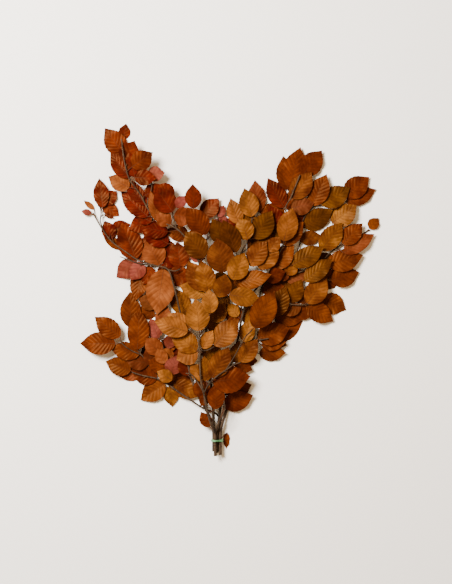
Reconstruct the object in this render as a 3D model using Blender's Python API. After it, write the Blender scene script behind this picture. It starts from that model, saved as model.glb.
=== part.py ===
"""A tied bunch of cut beech branches lying flat: six leafy branches and the band round their stems.

The plan is seen from above in millimetres: x to the right, y from the cut ends towards the crown.
Every leaf and stem is laid on the heap below it, from the bottom branch to the top one.
"""

import math
import random

import bmesh
import bpy
import numpy as np
from mathutils import Vector

MM = 0.001
REST_SPOT = (-23.0, 315.0)  # the plan point of the flat leaf that the bunch rests on: the frame's origin

# Stems and twigs
STEM_TIP_RADIUS = 1.5
TWIG_RADIUS = 2.0
TWIG_TIP_RADIUS = 1.3
ROUTE_STEP = 2.0
RING_SLACK = 0.7  # how far the rings' own line may stray from the route
WOOD_GAP = 0.7

# Where each stem lies in the bundle at the cut, as (height, radius)
LOW_ROW, MIDDLE_ROW, TOP_ROW = 7.0, 13.76, 20.52
STEM_RADIUS = 3.5
CUT = {"branch_lower_left": (LOW_ROW, 2.8), "branch_left": (LOW_ROW, STEM_RADIUS),
       "branch_upper_left": (MIDDLE_ROW, STEM_RADIUS), "branch_right": (MIDDLE_ROW, STEM_RADIUS),
       "branch_upper_middle": (MIDDLE_ROW, STEM_RADIUS), "branch_middle": (TOP_ROW, STEM_RADIUS)}
STRAIGHT_TO, CLEAR_FROM = 40.0, 66.0

# Blades
THICKNESS = 0.9
BREADTH_SHARE = 0.66
WIDEST_AT = 0.43
FULLNESS = 0.70
MARGIN_WAVES = 3
STALK_RUN_BACK = 6.0
STALK_HALF = 0.9
LARGE_LEAF = 90.0
SMALL_LEAF = 62.0
SEGMENTS = {"large": 5, "middle": 4, "small": 3}

# The heap that they lie on
CELL = 2.0
GRID_LOW = (-370.0, -30.0)
GRID_CELLS = (400, 410)
CLEARANCE = 1.3
FLOOR_CLEARANCE = 0.3
LEAF_EASE = 0.005  # how fast a blade may curve, per millimetre
ROLLS = np.linspace(-0.30, 0.30, 9)
MOST_DROP = 5.0
JOIN_RUN = 5.0
LIFT_RUN = 14.0
SEAT = 6.0
STEM_EASE = 0.0035  # how fast a stem may curve down from what it lies on, per millimetre

# The band round the cut stems
BAND_AT = 28.0
BAND_RADIUS = 1.2
BAND_TILT = 2.6
BAND_GAP = 0.35
BAND_POINTS = 16

SEED = 1


class Leaf:
    """One leaf: where its blade starts, which way it points, and its length and breadth."""

    def __init__(self, x, y, heading, length, breadth=None, under=False, flat=False):
        self.base = (x, y)
        self.heading = math.radians(heading)
        self.length = length
        self.breadth = breadth or length * BREADTH_SHARE
        self.under = under or flat
        self.flat = flat


class Branch:
    """One cut branch: its stem, the twigs on it, and its leaves from the lowest to the topmost.

    The share beneath says how many of the leaves lie under the branch's own wood.
    """

    def __init__(self, name, stem, twigs, leaves, beneath, colour):
        self.name = name
        self.beneath = beneath
        self.stem = stem
        self.twigs = twigs
        self.leaves = leaves
        self.colour = colour


def lower_left():
    stem = [(3.9, 2), (3.9, 40), (7, 62), (5, 80), (-8, 92), (-30, 101), (-62, 122), (-90, 141),
            (-115, 158), (-140, 170), (-168, 176), (-195, 184)]
    twigs = [
        [(-115, 158), (-135, 178), (-154, 202), (-172, 224), (-182, 236)],
        [(-172, 224), (-198, 236), (-214, 248), (-222, 260)],
        [(-115, 158), (-107, 180), (-116, 204), (-120, 232), (-128, 262), (-138, 298), (-143, 326)],
        [(-176, 229), (-188, 256), (-196, 284)],
    ]
    leaves = [
        Leaf(-104, 150, 84, 44, 34, under=True),
        Leaf(-108, 214, 50, 44, 32, under=True),
        Leaf(-70, 140, 110, 51, 40, under=True),
        Leaf(-143, 312, 150, 42, 34, under=True),
        Leaf(-120, 232, 60, 46, 36, under=True),
        Leaf(-152, 196, 95, 62, flat=True),
        Leaf(-107, 153, 275, 50, 36),
        Leaf(-100, 158, -27, 66, 44),
        Leaf(-120, 158, 215, 68, 48),
        Leaf(-172, 178, 178, 60, 30),
        Leaf(-138, 168, 160, 62, 46),
        Leaf(-198, 188, 160, 62, 44),
        Leaf(-156, 206, 172, 56, 40),
        Leaf(-178, 226, 168, 68, 42),
        Leaf(-198, 286, 91, 84, 48),
        Leaf(-232, 250, 180, 83, 52),
        Leaf(-221, 266, 142, 74, 44),
        Leaf(-143, 330, 140, 48, 34),
        Leaf(-134, 262, 113, 50, 38),
        Leaf(-132, 290, 70, 52, 36),
        Leaf(-182, 236, 88, 95, 50),
        Leaf(-150, 200, 100, 45, 30),
        Leaf(-128, 228, 135, 50, 40),
        Leaf(-112, 238, 75, 36, 28),
        Leaf(-98, 224, 172, 38, 28),
        Leaf(-118, 190, 150, 46, 34),
        Leaf(-118, 206, 118, 38, 30),
        Leaf(-106, 180, 72, 46, 40),
        Leaf(-102, 168, 150, 40, 32),
    ]
    return Branch("branch_lower_left", stem, twigs, leaves, 0.57, (0.34, 0.09, 0.03))


def left():
    stem = [(-3.9, -3), (-3.9, 40), (-9, 62), (-18, 85), (-30, 108), (-46, 140), (-60, 180),
            (-70, 230), (-76, 280), (-86, 330), (-98, 380), (-112, 419), (-140, 428), (-180, 441),
            (-206, 458), (-240, 483), (-262, 511), (-276, 534), (-284, 549)]
    twigs = [
        [(-140, 428), (-180, 434), (-222, 449)],
        [(-262, 511), (-267, 532), (-266, 550), (-270, 570)],
        [(-112, 419), (-96, 416), (-82, 421)],
    ]
    leaves = [
        Leaf(-172, 420, 258, 74, 42, under=True),
        Leaf(-244, 508, 20, 48, 34, under=True),
        Leaf(-176, 440, 80, 58, 36, under=True),
        Leaf(-66, 178, 110, 46, 34, under=True),
        Leaf(-104, 424, 98, 68, 46, under=True),
        Leaf(-56, 298, 25, 70, flat=True),
        Leaf(-196, 452, 80, 60, flat=True),
        Leaf(-68, 316, 122, 72, 46, under=True),
        Leaf(-138, 412, 12, 50, 36, under=True),
        Leaf(-222, 466, 137, 58, 24, under=True),
        Leaf(-150, 426, 246, 46, 36),
        Leaf(-184, 438, 218, 60, 46),
        Leaf(-170, 436, 236, 50, 38),
        Leaf(-240, 490, 113, 46, 34),
        Leaf(-186, 442, 111, 92, 58),
        Leaf(-132, 430, 116, 64, 56),
        Leaf(-84, 424, 97, 60, 50),
        Leaf(-112, 410, -14, 58, 48),
        Leaf(-122, 420, 262, 106, 66),
        Leaf(-262, 570, -36, 46, 32),
        Leaf(-261, 572, 42, 42, 34),
        Leaf(-262, 562, 97, 68, 36),
        Leaf(-259, 546, -20, 24, 9),
        Leaf(-282, 558, 140, 32, 13),
        Leaf(-288, 549, 168, 24, 15),
    ]
    return Branch("branch_left", stem, twigs, leaves, 0.84, (0.36, 0.07, 0.03))


def upper_left():
    stem = [(-7.8, 3), (-7.8, 40), (-8, 62), (-8, 90), (-12, 140), (-20, 200), (-24, 260),
            (-27, 330), (-32, 390), (-46, 452), (-70, 490), (-92, 512), (-120, 525), (-142, 537),
            (-160, 562), (-172, 586), (-187, 607), (-200, 627), (-209, 660), (-214, 692), (-217, 716)]
    twigs = [
        [(-92, 512), (-97, 530), (-101, 547), (-96, 562), (-88, 578)],
        [(-46, 452), (-30, 480), (-12, 504), (-4, 524), (4, 540)],
        [(-12, 504), (-34, 532), (-52, 556)],
        [(-160, 562), (-152, 588), (-148, 610), (-150, 626)],
    ]
    leaves = [
        Leaf(-148, 536, 205, 60, 44, under=True),
        Leaf(-66, 500, 172, 54, 38, under=True),
        Leaf(-112, 478, 150, 72, 46, under=True),
        Leaf(-112, 506, 170, 66, 40, under=True),
        Leaf(-150, 528, 150, 40, 30, under=True),
        Leaf(-158, 540, 137, 86, 44),
        Leaf(-162, 567, 128, 78, 34),
        Leaf(-200, 606, 152, 54, 40),
        Leaf(-217, 718, 78, 38, 28),
        Leaf(-212, 684, 127, 76, 50),
        Leaf(-198, 628, 128, 74, 40),
        Leaf(-210, 662, 66, 56, 46),
        Leaf(-165, 588, 30, 48, 34),
        Leaf(-186, 630, 104, 58, 40),
        Leaf(-158, 634, 8, 40, 36),
        Leaf(-97, 590, 153, 46, 34),
        Leaf(-193, 652, 35, 58, 46),
        Leaf(-187, 628, -2, 50, 37),
        Leaf(-134, 529, 104, 72, 26),
        Leaf(-104, 524, 150, 42, 36),
        Leaf(-100, 550, 125, 68, 52),
        Leaf(-93, 560, 48, 36, 26),
        Leaf(-97, 543, -12, 44, 44),
        Leaf(2, 538, -35, 34, 26),
        Leaf(4, 540, 66, 30, 22),
        Leaf(-53, 558, 92, 56, 38),
        Leaf(-34, 540, 48, 58, 42),
        Leaf(-14, 496, 50, 56, 40),
        Leaf(-22, 500, 128, 76, 50),
        Leaf(-62, 506, 292, 72, 50),
        Leaf(-60, 448, -8, 34, 24),
        Leaf(-28, 446, 126, 74, 52),
    ]
    return Branch("branch_upper_left", stem, twigs, leaves, 0.47, (0.38, 0.10, 0.03))


def right():
    stem = [(7.8, -5), (7.8, 40), (11, 62), (20, 90), (36, 130), (60, 190), (82, 255), (90, 310),
            (97, 355), (112, 390), (155, 401), (200, 418), (240, 440), (262, 460), (290, 479),
            (318, 493), (338, 503), (349, 512)]
    twigs = [
        [(82, 255), (98, 258), (118, 262)],
        [(90, 310), (108, 302), (134, 308)],
        [(97, 355), (130, 346), (168, 340), (202, 339), (234, 346)],
        [(200, 418), (230, 404), (260, 394)],
        [(155, 401), (172, 440), (190, 478), (197, 530), (215, 558), (238, 570), (268, 574), (296, 580)],
        [(240, 440), (238, 462), (255, 495), (270, 518)],
    ]
    leaves = [
        Leaf(200, 516, 108, 46, 32, under=True),
        Leaf(118, 262, -22, 46, 34, under=True),
        Leaf(214, 428, 18, 66, flat=True),
        Leaf(124, 262, 28, 84, 46, flat=True),
        Leaf(23, 45, 268, 38, 15, under=True),
        Leaf(132, 305, 4, 72, 36, under=True),
        Leaf(120, 388, -6, 76, 44, under=True),
        Leaf(100, 374, 8, 56, 40, under=True),
        Leaf(160, 394, 20, 54, 36, under=True),
        Leaf(178, 316, 14, 48, 36, under=True),
        Leaf(238, 382, 36, 60, 44, under=True),
        Leaf(56, 212, -4, 38, 30),
        Leaf(97, 227, 2, 62, 38),
        Leaf(102, 246, 8, 58, 30),
        Leaf(92, 264, 16, 78, 54),
        Leaf(192, 336, 204, 48, 30),
        Leaf(203, 342, 118, 46, 32),
        Leaf(166, 344, 62, 60, 40),
        Leaf(240, 352, -24, 62, 50),
        Leaf(206, 338, -32, 72, 46),
        Leaf(134, 312, 72, 74, 44),
        Leaf(206, 342, 55, 78, 50),
        Leaf(262, 394, 17, 68, 48),
        Leaf(254, 432, 14, 84, 52),
        Leaf(290, 458, 31, 84, 38),
        Leaf(288, 478, 46, 66, 42),
        Leaf(350, 513, 50, 33, 27),
        Leaf(298, 574, 24, 74, 40),
        Leaf(293, 588, 38, 72, 50),
        Leaf(264, 526, 36, 70, 52),
        Leaf(202, 516, 33, 76, 48),
        Leaf(190, 488, 10, 52, 34),
        Leaf(238, 464, 52, 80, 48),
        Leaf(238, 569, 30, 78, 50),
        Leaf(218, 566, 65, 80, 48),
        Leaf(200, 393, 38, 82, 42),
        Leaf(138, 400, 30, 34, 30),
        Leaf(163, 406, 68, 36, 32),
        Leaf(172, 430, 30, 84, 46),
    ]
    return Branch("branch_right", stem, twigs, leaves, 0.52, (0.36, 0.14, 0.03))


def upper_middle():
    stem = [(0, 0), (0, 40), (3, 62), (6, 90), (14, 140), (30, 200), (48, 260), (60, 320), (80, 362),
            (102, 390), (120, 420), (140, 452), (154, 485), (162, 525), (157, 560), (168, 582),
            (178, 606), (190, 636)]
    twigs = [
        [(60, 320), (46, 370), (44, 420), (58, 462), (71, 488), (78, 512), (80, 538)],
        [(44, 400), (28, 402), (14, 408)],
        [(46, 365), (28, 358), (8, 355), (-20, 362)],
        [(51, 442), (38, 452), (24, 468)],
    ]
    leaves = [
        Leaf(176, 552, 100, 52, 38, under=True),
        Leaf(72, 292, 92, 52, 34, under=True),
        Leaf(42, 366, 100, 44, 32, under=True),
        Leaf(68, 512, 150, 50, 34, under=True),
        Leaf(150, 480, 120, 44, 30, under=True),
        Leaf(60, 318, 178, 50, 42, under=True),
        Leaf(28, 358, 216, 46, 34, under=True),
        Leaf(28, 402, 198, 51, 38, under=True),
        Leaf(156, 548, 172, 64, 42, under=True),
        Leaf(78, 512, 105, 51, 36, under=True),
        Leaf(124, 424, 44, 74, 48, under=True),
        Leaf(110, 398, 20, 50, 36, under=True),
        Leaf(70, 468, 28, 70, 46, under=True),
        Leaf(150, 476, 48, 72, 44, under=True),
        Leaf(96, 552, 97, 74, 42),
        Leaf(140, 540, 155, 34, 28),
        Leaf(148, 512, 118, 62, 40),
        Leaf(154, 562, 119, 78, 44),
        Leaf(163, 602, 98, 80, 46),
        Leaf(168, 606, 76, 98, 56),
        Leaf(197, 636, 52, 72, 50),
        Leaf(170, 560, 12, 54, 42),
        Leaf(172, 582, 54, 76, 48),
        Leaf(50, 524, 108, 62, 38),
        Leaf(80, 540, 105, 68, 46),
        Leaf(86, 490, 58, 76, 50),
        Leaf(71, 488, 112, 54, 44),
        Leaf(98, 420, 60, 76, 48),
        Leaf(118, 460, 55, 42, 32),
        Leaf(74, 428, 55, 68, 46),
        Leaf(152, 484, 75, 80, 48),
        Leaf(48, 312, 128, 38, 28),
        Leaf(20, 472, 116, 70, 44),
        Leaf(44, 458, 112, 80, 48),
        Leaf(14, 412, 100, 80, 62),
        Leaf(-28, 362, 160, 62, 40),
        Leaf(-26, 372, 121, 78, 50),
        Leaf(-20, 368, 103, 74, 48),
        Leaf(38, 386, 14, 90, 42),
        Leaf(35, 396, 66, 68, 50),
        Leaf(4, 356, 72, 56, 44),
        Leaf(28, 362, -10, 74, 44),
    ]
    return Branch("branch_upper_middle", stem, twigs, leaves, 0.62, (0.37, 0.15, 0.04))


def middle():
    stem = [(-3.9, -7), (-3.9, 30), (-5, 50), (-12, 66), (-19, 88), (-25, 115), (-31, 145),
            (-36, 168), (-38, 200), (-39, 235), (-41, 262), (-33, 283), (-22, 303), (-16, 318)]
    twigs = [
        [(-41, 262), (-52, 277), (-60, 284)],
        [(-5, 50), (2, 66), (11, 84), (18, 103), (16, 122)],
        [(-29, 140), (-44, 164), (-58, 181), (-71, 184)],
        [(-29, 140), (-18, 160), (0, 177), (20, 191), (40, 204), (54, 208)],
        [(20, 191), (42, 226), (60, 260), (82, 284)],
        [(-39, 235), (-22, 236), (-6, 244)],
    ]
    leaves = [
        Leaf(-27, 128, 112, 48, 40, under=True),
        Leaf(-36, 226, 8, 51, 40, under=True),
        Leaf(40, 204, -20, 44, 34, under=True),
        Leaf(-22, 303, -40, 38, 30, under=True),
        Leaf(-17, 60, 120, 40, 28, under=True),
        Leaf(-22, 134, 240, 30, 24, under=True),
        Leaf(20, 134, 20, 64, 44),
        Leaf(16, 105, 22, 73, 46),
        Leaf(-4, 102, 86, 62, 40),
        Leaf(-33, 166, 122, 50, 32),
        Leaf(-24, 166, 95, 58, 36),
        Leaf(-10, 164, 8, 88, 62),
        Leaf(46, 204, 85, 52, 38),
        Leaf(-12, 174, 60, 80, 48),
        Leaf(54, 208, 54, 66, 42),
        Leaf(62, 254, 72, 56, 36),
        Leaf(85, 287, 62, 96, 58),
        Leaf(-12, 300, 55, 54, 40),
        Leaf(-5, 246, 48, 82, 52),
        Leaf(-33, 240, 60, 48, 32),
        Leaf(-45, 236, 205, 52, 50),
        Leaf(-46, 234, 140, 78, 50),
        Leaf(-60, 288, 150, 62, 38),
        Leaf(-66, 278, 162, 80, 46),
        Leaf(-40, 280, 97, 74, 54),
        Leaf(-14, 320, 94, 56, 38),
    ]
    return Branch("branch_middle", stem, twigs, leaves, 0.85, (0.40, 0.17, 0.05))


def smooth_route(points, step=ROUTE_STEP):
    """Points every step millimetres on a smooth curve through the route's own points."""
    own = [Vector((x, y, 0)) for x, y in points]
    ends = [own[0] * 2 - own[1]] + own + [own[-1] * 2 - own[-2]]
    route = []
    for a, b, c, d in zip(ends, ends[1:], ends[2:], ends[3:]):
        count = max(1, round((c - b).length / step))
        for i in range(count):
            t = i / count
            route.append(0.5 * (2 * b + (c - a) * t + (2 * a - 5 * b + 4 * c - d) * t * t
                                + (3 * b - a - 3 * c + d) * t ** 3))
    route.append(own[-1])
    return np.array([(p.x, p.y) for p in route])


def half_breadth(u, leaf):
    """Half the blade's breadth at the share u of its length: ovate, with a short point."""
    bend = math.log(0.5) / math.log(WIDEST_AT)
    return 0.5 * leaf.breadth * np.sin(np.pi * np.clip(u, 0, 1) ** bend) ** FULLNESS


def give_habit(leaf, draw):
    """The seeded small differences between leaves: fold, curl, wave, lift of the tip and roll."""
    leaf.fold, leaf.curl, leaf.wave, leaf.lift, leaf.lean = (
        draw.uniform(0.02, 0.11), draw.uniform(0.0, 0.14), draw.uniform(0.6, 1.4),
        draw.uniform(0.0, 0.05), draw.uniform(-0.12, 0.12))
    if leaf.flat:
        leaf.fold = leaf.curl = leaf.wave = leaf.lift = leaf.lean = 0.0


def blade_rise(u, v, across, leaf):
    """The blade's height above its midrib's own line, at the share u along it and v across it."""
    wave = math.cos(2 * math.pi * MARGIN_WAVES * u) * math.sin(math.pi * u) ** 0.5
    return (leaf.fold * abs(across) - leaf.curl * across * across / leaf.breadth
            + leaf.wave * v * v * wave)


def row_count(leaf):
    """The rows that the blade is built of, between its base and its tip."""
    size = ("large" if leaf.length >= LARGE_LEAF else
            "middle" if leaf.length >= SMALL_LEAF else "small")
    return SEGMENTS[size]


def blade_net(leaf):
    """The blade's points as (along, across, rise), and its triangles, each side vein an edge."""
    count = row_count(leaf)
    points = [(0.0, STALK_HALF, 0.0), (0.0, -STALK_HALF, 0.0)]
    for i in range(1, count):
        u = i / count
        half = float(half_breadth(u, leaf))
        for v in (1, 0, -1):
            points.append((u * leaf.length, v * half, blade_rise(u, v, v * half, leaf)))
    points.append((leaf.length, 0.0, 0.0))
    faces = [(0, 3, 2), (0, 1, 3), (1, 4, 3)]
    for i in range(count - 2):
        left, mid, right = (2 + 3 * i, 3 + 3 * i, 4 + 3 * i)
        faces += [(mid, mid + 3, left + 3), (mid, left + 3, left),
                  (mid, right + 3, mid + 3), (mid, right, right + 3)]
    left, mid, right = (3 * count - 4, 3 * count - 3, 3 * count - 2)
    faces += [(left, mid, mid + 2), (mid, right, mid + 2)]
    return np.array(points), faces


def plan_of(leaf, along, across):
    """The plan's x and y of a point on the blade; across is positive to the left of the tip."""
    c, s = math.cos(leaf.heading), math.sin(leaf.heading)
    return leaf.base[0] + along * c - across * s, leaf.base[1] + along * s + across * c


def spread(corners, spacing=1.5):
    """Points over a triangle, no further apart than the spacing."""
    a, b, c = corners
    count = int(max(np.linalg.norm(b - a), np.linalg.norm(c - a), np.linalg.norm(c - b)) / spacing) + 1
    return [a + (b - a) * (i / count) + (c - a) * (j / count)
            for i in range(count + 1) for j in range(count + 1 - i)]


class Heap:
    """The height of the topmost surface so far, over the plan: of blades alone, and with the wood."""

    def __init__(self):
        self.blades = np.zeros(GRID_CELLS)
        self.tops = np.zeros(GRID_CELLS)
        self.wood = []

    def cells(self, x, y):
        i = np.rint((np.asarray(x) - GRID_LOW[0]) / CELL).astype(int)
        j = np.rint((np.asarray(y) - GRID_LOW[1]) / CELL).astype(int)
        return i, j

    def free(self, x, y, tops):
        """The lowest height that is clear of the heap at each point."""
        i, j = self.cells(x, y)
        top = np.max([tops[i + a, j + b] for a in (-1, 0, 1) for b in (-1, 0, 1)], axis=0)
        return np.where(top > 0, top + CLEARANCE, FLOOR_CLEARANCE)

    def add_blade(self, x, y, z):
        at = self.cells(x, y)
        np.maximum.at(self.blades, at, z)
        np.maximum.at(self.tops, at, z)

    def add_wood(self, wood):
        self.wood.append(wood)
        normal = side_of(wood["route"])
        for side in np.linspace(-1, 1, 5):
            offset = side * wood["radius"]
            x, y = (wood["route"] + normal * offset[:, None]).T
            np.maximum.at(self.tops, self.cells(x, y),
                          wood["z"] + np.sqrt(np.maximum(wood["radius"] ** 2 - offset ** 2, 0)))


def side_of(route):
    """The plan direction to the left of the route at each of its points."""
    way = np.gradient(route, axis=0)
    way /= np.linalg.norm(way, axis=1)[:, None]
    return np.stack([-way[:, 1], way[:, 0]], axis=1)


def lay_leaf(leaf, heap, twig_height):
    """Drapes a blade: the lowest gentle curve for its midrib, and the roll, that clear the heap."""
    points, faces = blade_net(leaf)
    along, across, rise = np.array([p for f in faces for p in spread(points[list(f)])]).T
    x, y = plan_of(leaf, along, across)
    count = row_count(leaf)
    stations = np.linspace(0, leaf.length, count + 1)
    leaf.roll, leaf.spine = 0.0, np.zeros(count + 1)
    if not leaf.flat:
        free = heap.free(x, y, heap.tops)
        band = np.clip((along / leaf.length * count).astype(int), 0, count - 1)
        bends = LEAF_EASE * (stations[:, None] - stations[None, :]) ** 2
        best = None
        for roll in ROLLS:
            surface = rise + roll * across
            needed = np.full(count + 1, -np.inf)
            np.maximum.at(needed, band, free - surface)
            np.maximum.at(needed, band + 1, free - surface)
            if twig_height is not None:
                needed[0] = max(needed[0], twig_height - MOST_DROP)
            spine = (needed[None, :] - bends).max(axis=1) + leaf.lift * stations
            gap = (np.interp(along, stations, spine) + surface - free).mean()
            off = 0.0 if twig_height is None else abs(spine[0] - twig_height)
            cost = gap / 4 + off * off / 36 + 14 * (roll - leaf.lean) ** 2
            if best is None or cost < best[0]:
                best = (cost, roll, spine)
        leaf.roll, leaf.spine = best[1:]
    z = np.interp(along, stations, leaf.spine) + rise + leaf.roll * across
    heap.add_blade(x, y, z + THICKNESS)


def lay_route(points, radii, heap, start, skip, straight_to=None):
    """The lowest smooth line for a stem that clears the blades and the wood beneath it."""
    route = smooth_route(points)
    share = np.linspace(0, 1, len(route))
    radius = radii[0] + (radii[1] - radii[0]) * np.minimum(1, share * radii[2])
    run = np.concatenate([[0], np.cumsum(np.linalg.norm(np.diff(route, axis=0), axis=1))])
    normal = side_of(route)
    needed = radius + FLOOR_CLEARANCE
    for side in np.linspace(-1, 1, 7):
        x, y = (route + normal * (side * (radius + 1.0))[:, None]).T
        needed = np.maximum(needed, heap.free(x, y, heap.blades) + radius)
    for other in heap.wood:
        apart = np.linalg.norm(route[:, None] - other["route"][None], axis=2)
        reach = radius[:, None] + other["radius"][None] + WOOD_GAP
        over = other["z"][None] + np.sqrt(np.maximum(reach ** 2 - apart ** 2, 0))
        needed = np.maximum(needed, np.where(apart < reach, over, 0).max(axis=1))
    free = run >= skip if straight_to is None else route[:, 1] > straight_to
    needed = np.where(free, needed, start)
    wood = {"route": route, "radius": radius, "run": run, "z": needed, "needed": needed}
    if straight_to is not None:
        share = np.clip((route[:, 1] - straight_to) / (CLEAR_FROM - straight_to), 0, 1)
        wood["from_cut"] = share * share * (3 - 2 * share)
    ease_wood(wood, start, JOIN_RUN)
    return wood


def ease_wood(wood, start, join):
    """The lowest smooth line over what the wood needs, that starts where the wood does."""
    run = wood["run"]
    z = (wood["needed"][None, :] - STEM_EASE * (run[:, None] - run[None, :]) ** 2).max(axis=1)
    if "from_cut" in wood:
        wood["z"] = start + (z - start) * wood["from_cut"]
    else:
        wood["z"] = z + (start - z[0]) * np.exp(-run / join)


def raise_wood(woods, leaves):
    """Lifts the wood to within reach of the leaves that it carries."""
    for leaf in leaves:
        wood, at = nearest_wood(leaf, woods)
        wood["needed"][at] = max(wood["needed"][at], leaf.spine[0] - SEAT)
    for wood in woods:
        before = wood["z"]
        if "foot" in wood:
            parent, at = wood["foot"]
            ease_wood(wood, parent["z"][at], LIFT_RUN)
        else:
            ease_wood(wood, before[0], JOIN_RUN)
        wood["z"] = np.maximum(wood["z"], before)


def lay_twig(points, heap, woods):
    """A twig that starts in the nearest wood of its own branch."""
    foot = np.array(points[0], float)
    parent = min(woods, key=lambda w: np.linalg.norm(w["route"] - foot, axis=1).min())
    at = int(np.linalg.norm(parent["route"] - foot, axis=1).argmin())
    thick = min(TWIG_RADIUS, parent["radius"][at] * 0.85)
    twig = lay_route(points, (thick, TWIG_TIP_RADIUS, 1.0), heap, parent["z"][at],
                     parent["radius"][at] + 6)
    twig["foot"] = (parent, at)
    return twig


def nearest_wood(leaf, woods):
    """The wood that a leaf grows on, and the index of the point nearest to the leaf."""
    base = np.array(leaf.base)
    wood = min(woods, key=lambda w: np.linalg.norm(w["route"] - base, axis=1).min())
    return wood, int(np.linalg.norm(wood["route"] - base, axis=1).argmin())


def lay_branch(branch, heap, draw):
    """Lays one branch on the heap: the leaves beneath it, its wood, then the leaves on top."""
    leaves = sorted(branch.leaves, key=lambda f: (not f.flat, not f.under))
    for leaf in leaves:
        give_habit(leaf, draw)
    low = round(branch.beneath * len(leaves))
    for leaf in leaves[:low]:
        lay_leaf(leaf, heap, None)
    height, thick = CUT[branch.name]
    woods = [lay_route(branch.stem, (thick, STEM_TIP_RADIUS, 1.3), heap, height, 0, STRAIGHT_TO)]
    for points in branch.twigs:
        woods.append(lay_twig(points, heap, woods))
    for wood in woods:
        heap.add_wood(wood)
    for leaf in leaves[low:]:
        wood, at = nearest_wood(leaf, woods)
        lay_leaf(leaf, heap, wood["z"][at])
    heap.wood = heap.wood[:-len(woods)]
    raise_wood(woods, leaves)
    for wood in woods:
        heap.add_wood(wood)
    for leaf in leaves:
        leaf.wood, at = nearest_wood(leaf, woods)
        back = max(STALK_RUN_BACK, abs(leaf.wood["z"][at] - leaf.spine[0]))
        leaf.foot = max(0, at - round(back / ROUTE_STEP))
    return woods, leaves


def ring_rows(points):
    """The rows of a route that its rings stand on: few where it runs straight."""
    keep, spans = {0, len(points) - 1}, [(0, len(points) - 1)]
    while spans:
        a, b = spans.pop()
        if b - a < 2:
            continue
        way = points[b] - points[a]
        off = points[a + 1:b] - points[a]
        apart = np.linalg.norm(off - np.outer(off @ way / (way @ way), way), axis=1)
        if apart.max() > RING_SLACK:
            middle = a + 1 + int(apart.argmax())
            keep.add(middle)
            spans += [(a, middle), (middle, b)]
    return sorted(keep)


def own_place(x, y, z):
    """A plan point in metres from the rest spot."""
    return Vector(((x - REST_SPOT[0]) * MM, (y - REST_SPOT[1]) * MM, z * MM))


def tube(name, points, radii, cyclic=False, resolution=1):
    """A stem along the points, as a closed mesh object: six-sided, or four-sided at resolution 0."""
    curve = bpy.data.curves.new(name, "CURVE")
    curve.dimensions = "3D"
    curve.bevel_depth = MM
    curve.bevel_resolution = resolution
    curve.use_fill_caps = not cyclic
    spline = curve.splines.new("POLY")
    spline.points.add(len(points) - 1)
    spline.use_cyclic_u = cyclic
    for own, place, radius in zip(spline.points, points, radii):
        own.co = (*own_place(*place), 1)
        own.radius = radius
    carrier = bpy.data.objects.new(name, curve)
    bpy.context.scene.collection.objects.link(carrier)
    seen = carrier.evaluated_get(bpy.context.evaluated_depsgraph_get())
    mesh = bpy.data.meshes.new_from_object(seen)
    bpy.data.objects.remove(carrier)
    return closed(name, mesh)


def closed(name, mesh):
    """The mesh as an object, its doubled points welded and its faces facing out."""
    shape = bmesh.new()
    shape.from_mesh(mesh)
    bmesh.ops.remove_doubles(shape, verts=shape.verts, dist=0.00001)
    bmesh.ops.recalc_face_normals(shape, faces=shape.faces)
    shape.to_mesh(mesh)
    shape.free()
    obj = bpy.data.objects.new(name, mesh)
    bpy.context.scene.collection.objects.link(obj)
    return obj


def leaf_solid(name, leaf):
    """One leaf as a thin closed solid: its stalk from the wood's middle, and its blade."""
    points, faces = blade_net(leaf)
    foot = Vector((*leaf.wood["route"][leaf.foot], leaf.wood["z"][leaf.foot] - THICKNESS / 2))
    way = (Vector(leaf.base) - foot.xy).normalized() * STALK_HALF
    stations = np.linspace(0, leaf.length, row_count(leaf) + 1)
    shape = bmesh.new()
    verts = []
    for along, across, rise in points:
        x, y = plan_of(leaf, along, across)
        z = np.interp(along, stations, leaf.spine) + rise + leaf.roll * across
        verts.append(shape.verts.new(own_place(x, y, z)))
    left = shape.verts.new(own_place(foot.x - way.y, foot.y + way.x, foot.z))
    right = shape.verts.new(own_place(foot.x + way.y, foot.y - way.x, foot.z))
    for f in faces:
        shape.faces.new([verts[i] for i in f])
    shape.faces.new((left, verts[1], verts[0]))
    shape.faces.new((left, right, verts[1]))
    raised = bmesh.ops.extrude_face_region(shape, geom=shape.faces[:])
    up = [g for g in raised["geom"] if isinstance(g, bmesh.types.BMVert)]
    bmesh.ops.translate(shape, verts=up, vec=(0, 0, THICKNESS * MM))
    bmesh.ops.triangulate(shape, faces=[f for f in shape.faces if len(f.verts) > 3])
    mesh = bpy.data.meshes.new(name)
    shape.to_mesh(mesh)
    shape.free()
    return closed(name, mesh)


def fuse(name, first, others, solver="MANIFOLD"):
    """Joins the others to the first in one Boolean union, and removes them."""
    group = bpy.data.collections.new(name + "_pieces")
    bpy.context.scene.collection.children.link(group)
    for obj in others:
        bpy.context.scene.collection.objects.unlink(obj)
        group.objects.link(obj)
    union = first.modifiers.new("union", "BOOLEAN")
    union.operation = "UNION"
    union.operand_type = "COLLECTION"
    union.collection = group
    union.solver = solver
    seen = first.evaluated_get(bpy.context.evaluated_depsgraph_get())
    mesh = bpy.data.meshes.new_from_object(seen)
    first.modifiers.clear()
    first.data = mesh
    first.name = mesh.name = name
    for obj in others:
        bpy.data.objects.remove(obj)
    bpy.data.collections.remove(group)
    return first


def finish(obj, colour, roughness, home):
    """Gives the node its material and shading, and moves it into the object's collection."""
    material = bpy.data.materials.new(obj.name)
    material.use_nodes = True
    surface = material.node_tree.nodes["Principled BSDF"]
    surface.inputs["Base Color"].default_value = (*colour, 1)
    surface.inputs["Roughness"].default_value = roughness
    obj.data.materials.clear()
    obj.data.materials.append(material)
    obj.data.shade_smooth()
    obj.data.set_sharp_from_angle(angle=math.radians(30))
    bpy.context.scene.collection.objects.unlink(obj)
    home.objects.link(obj)


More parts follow.
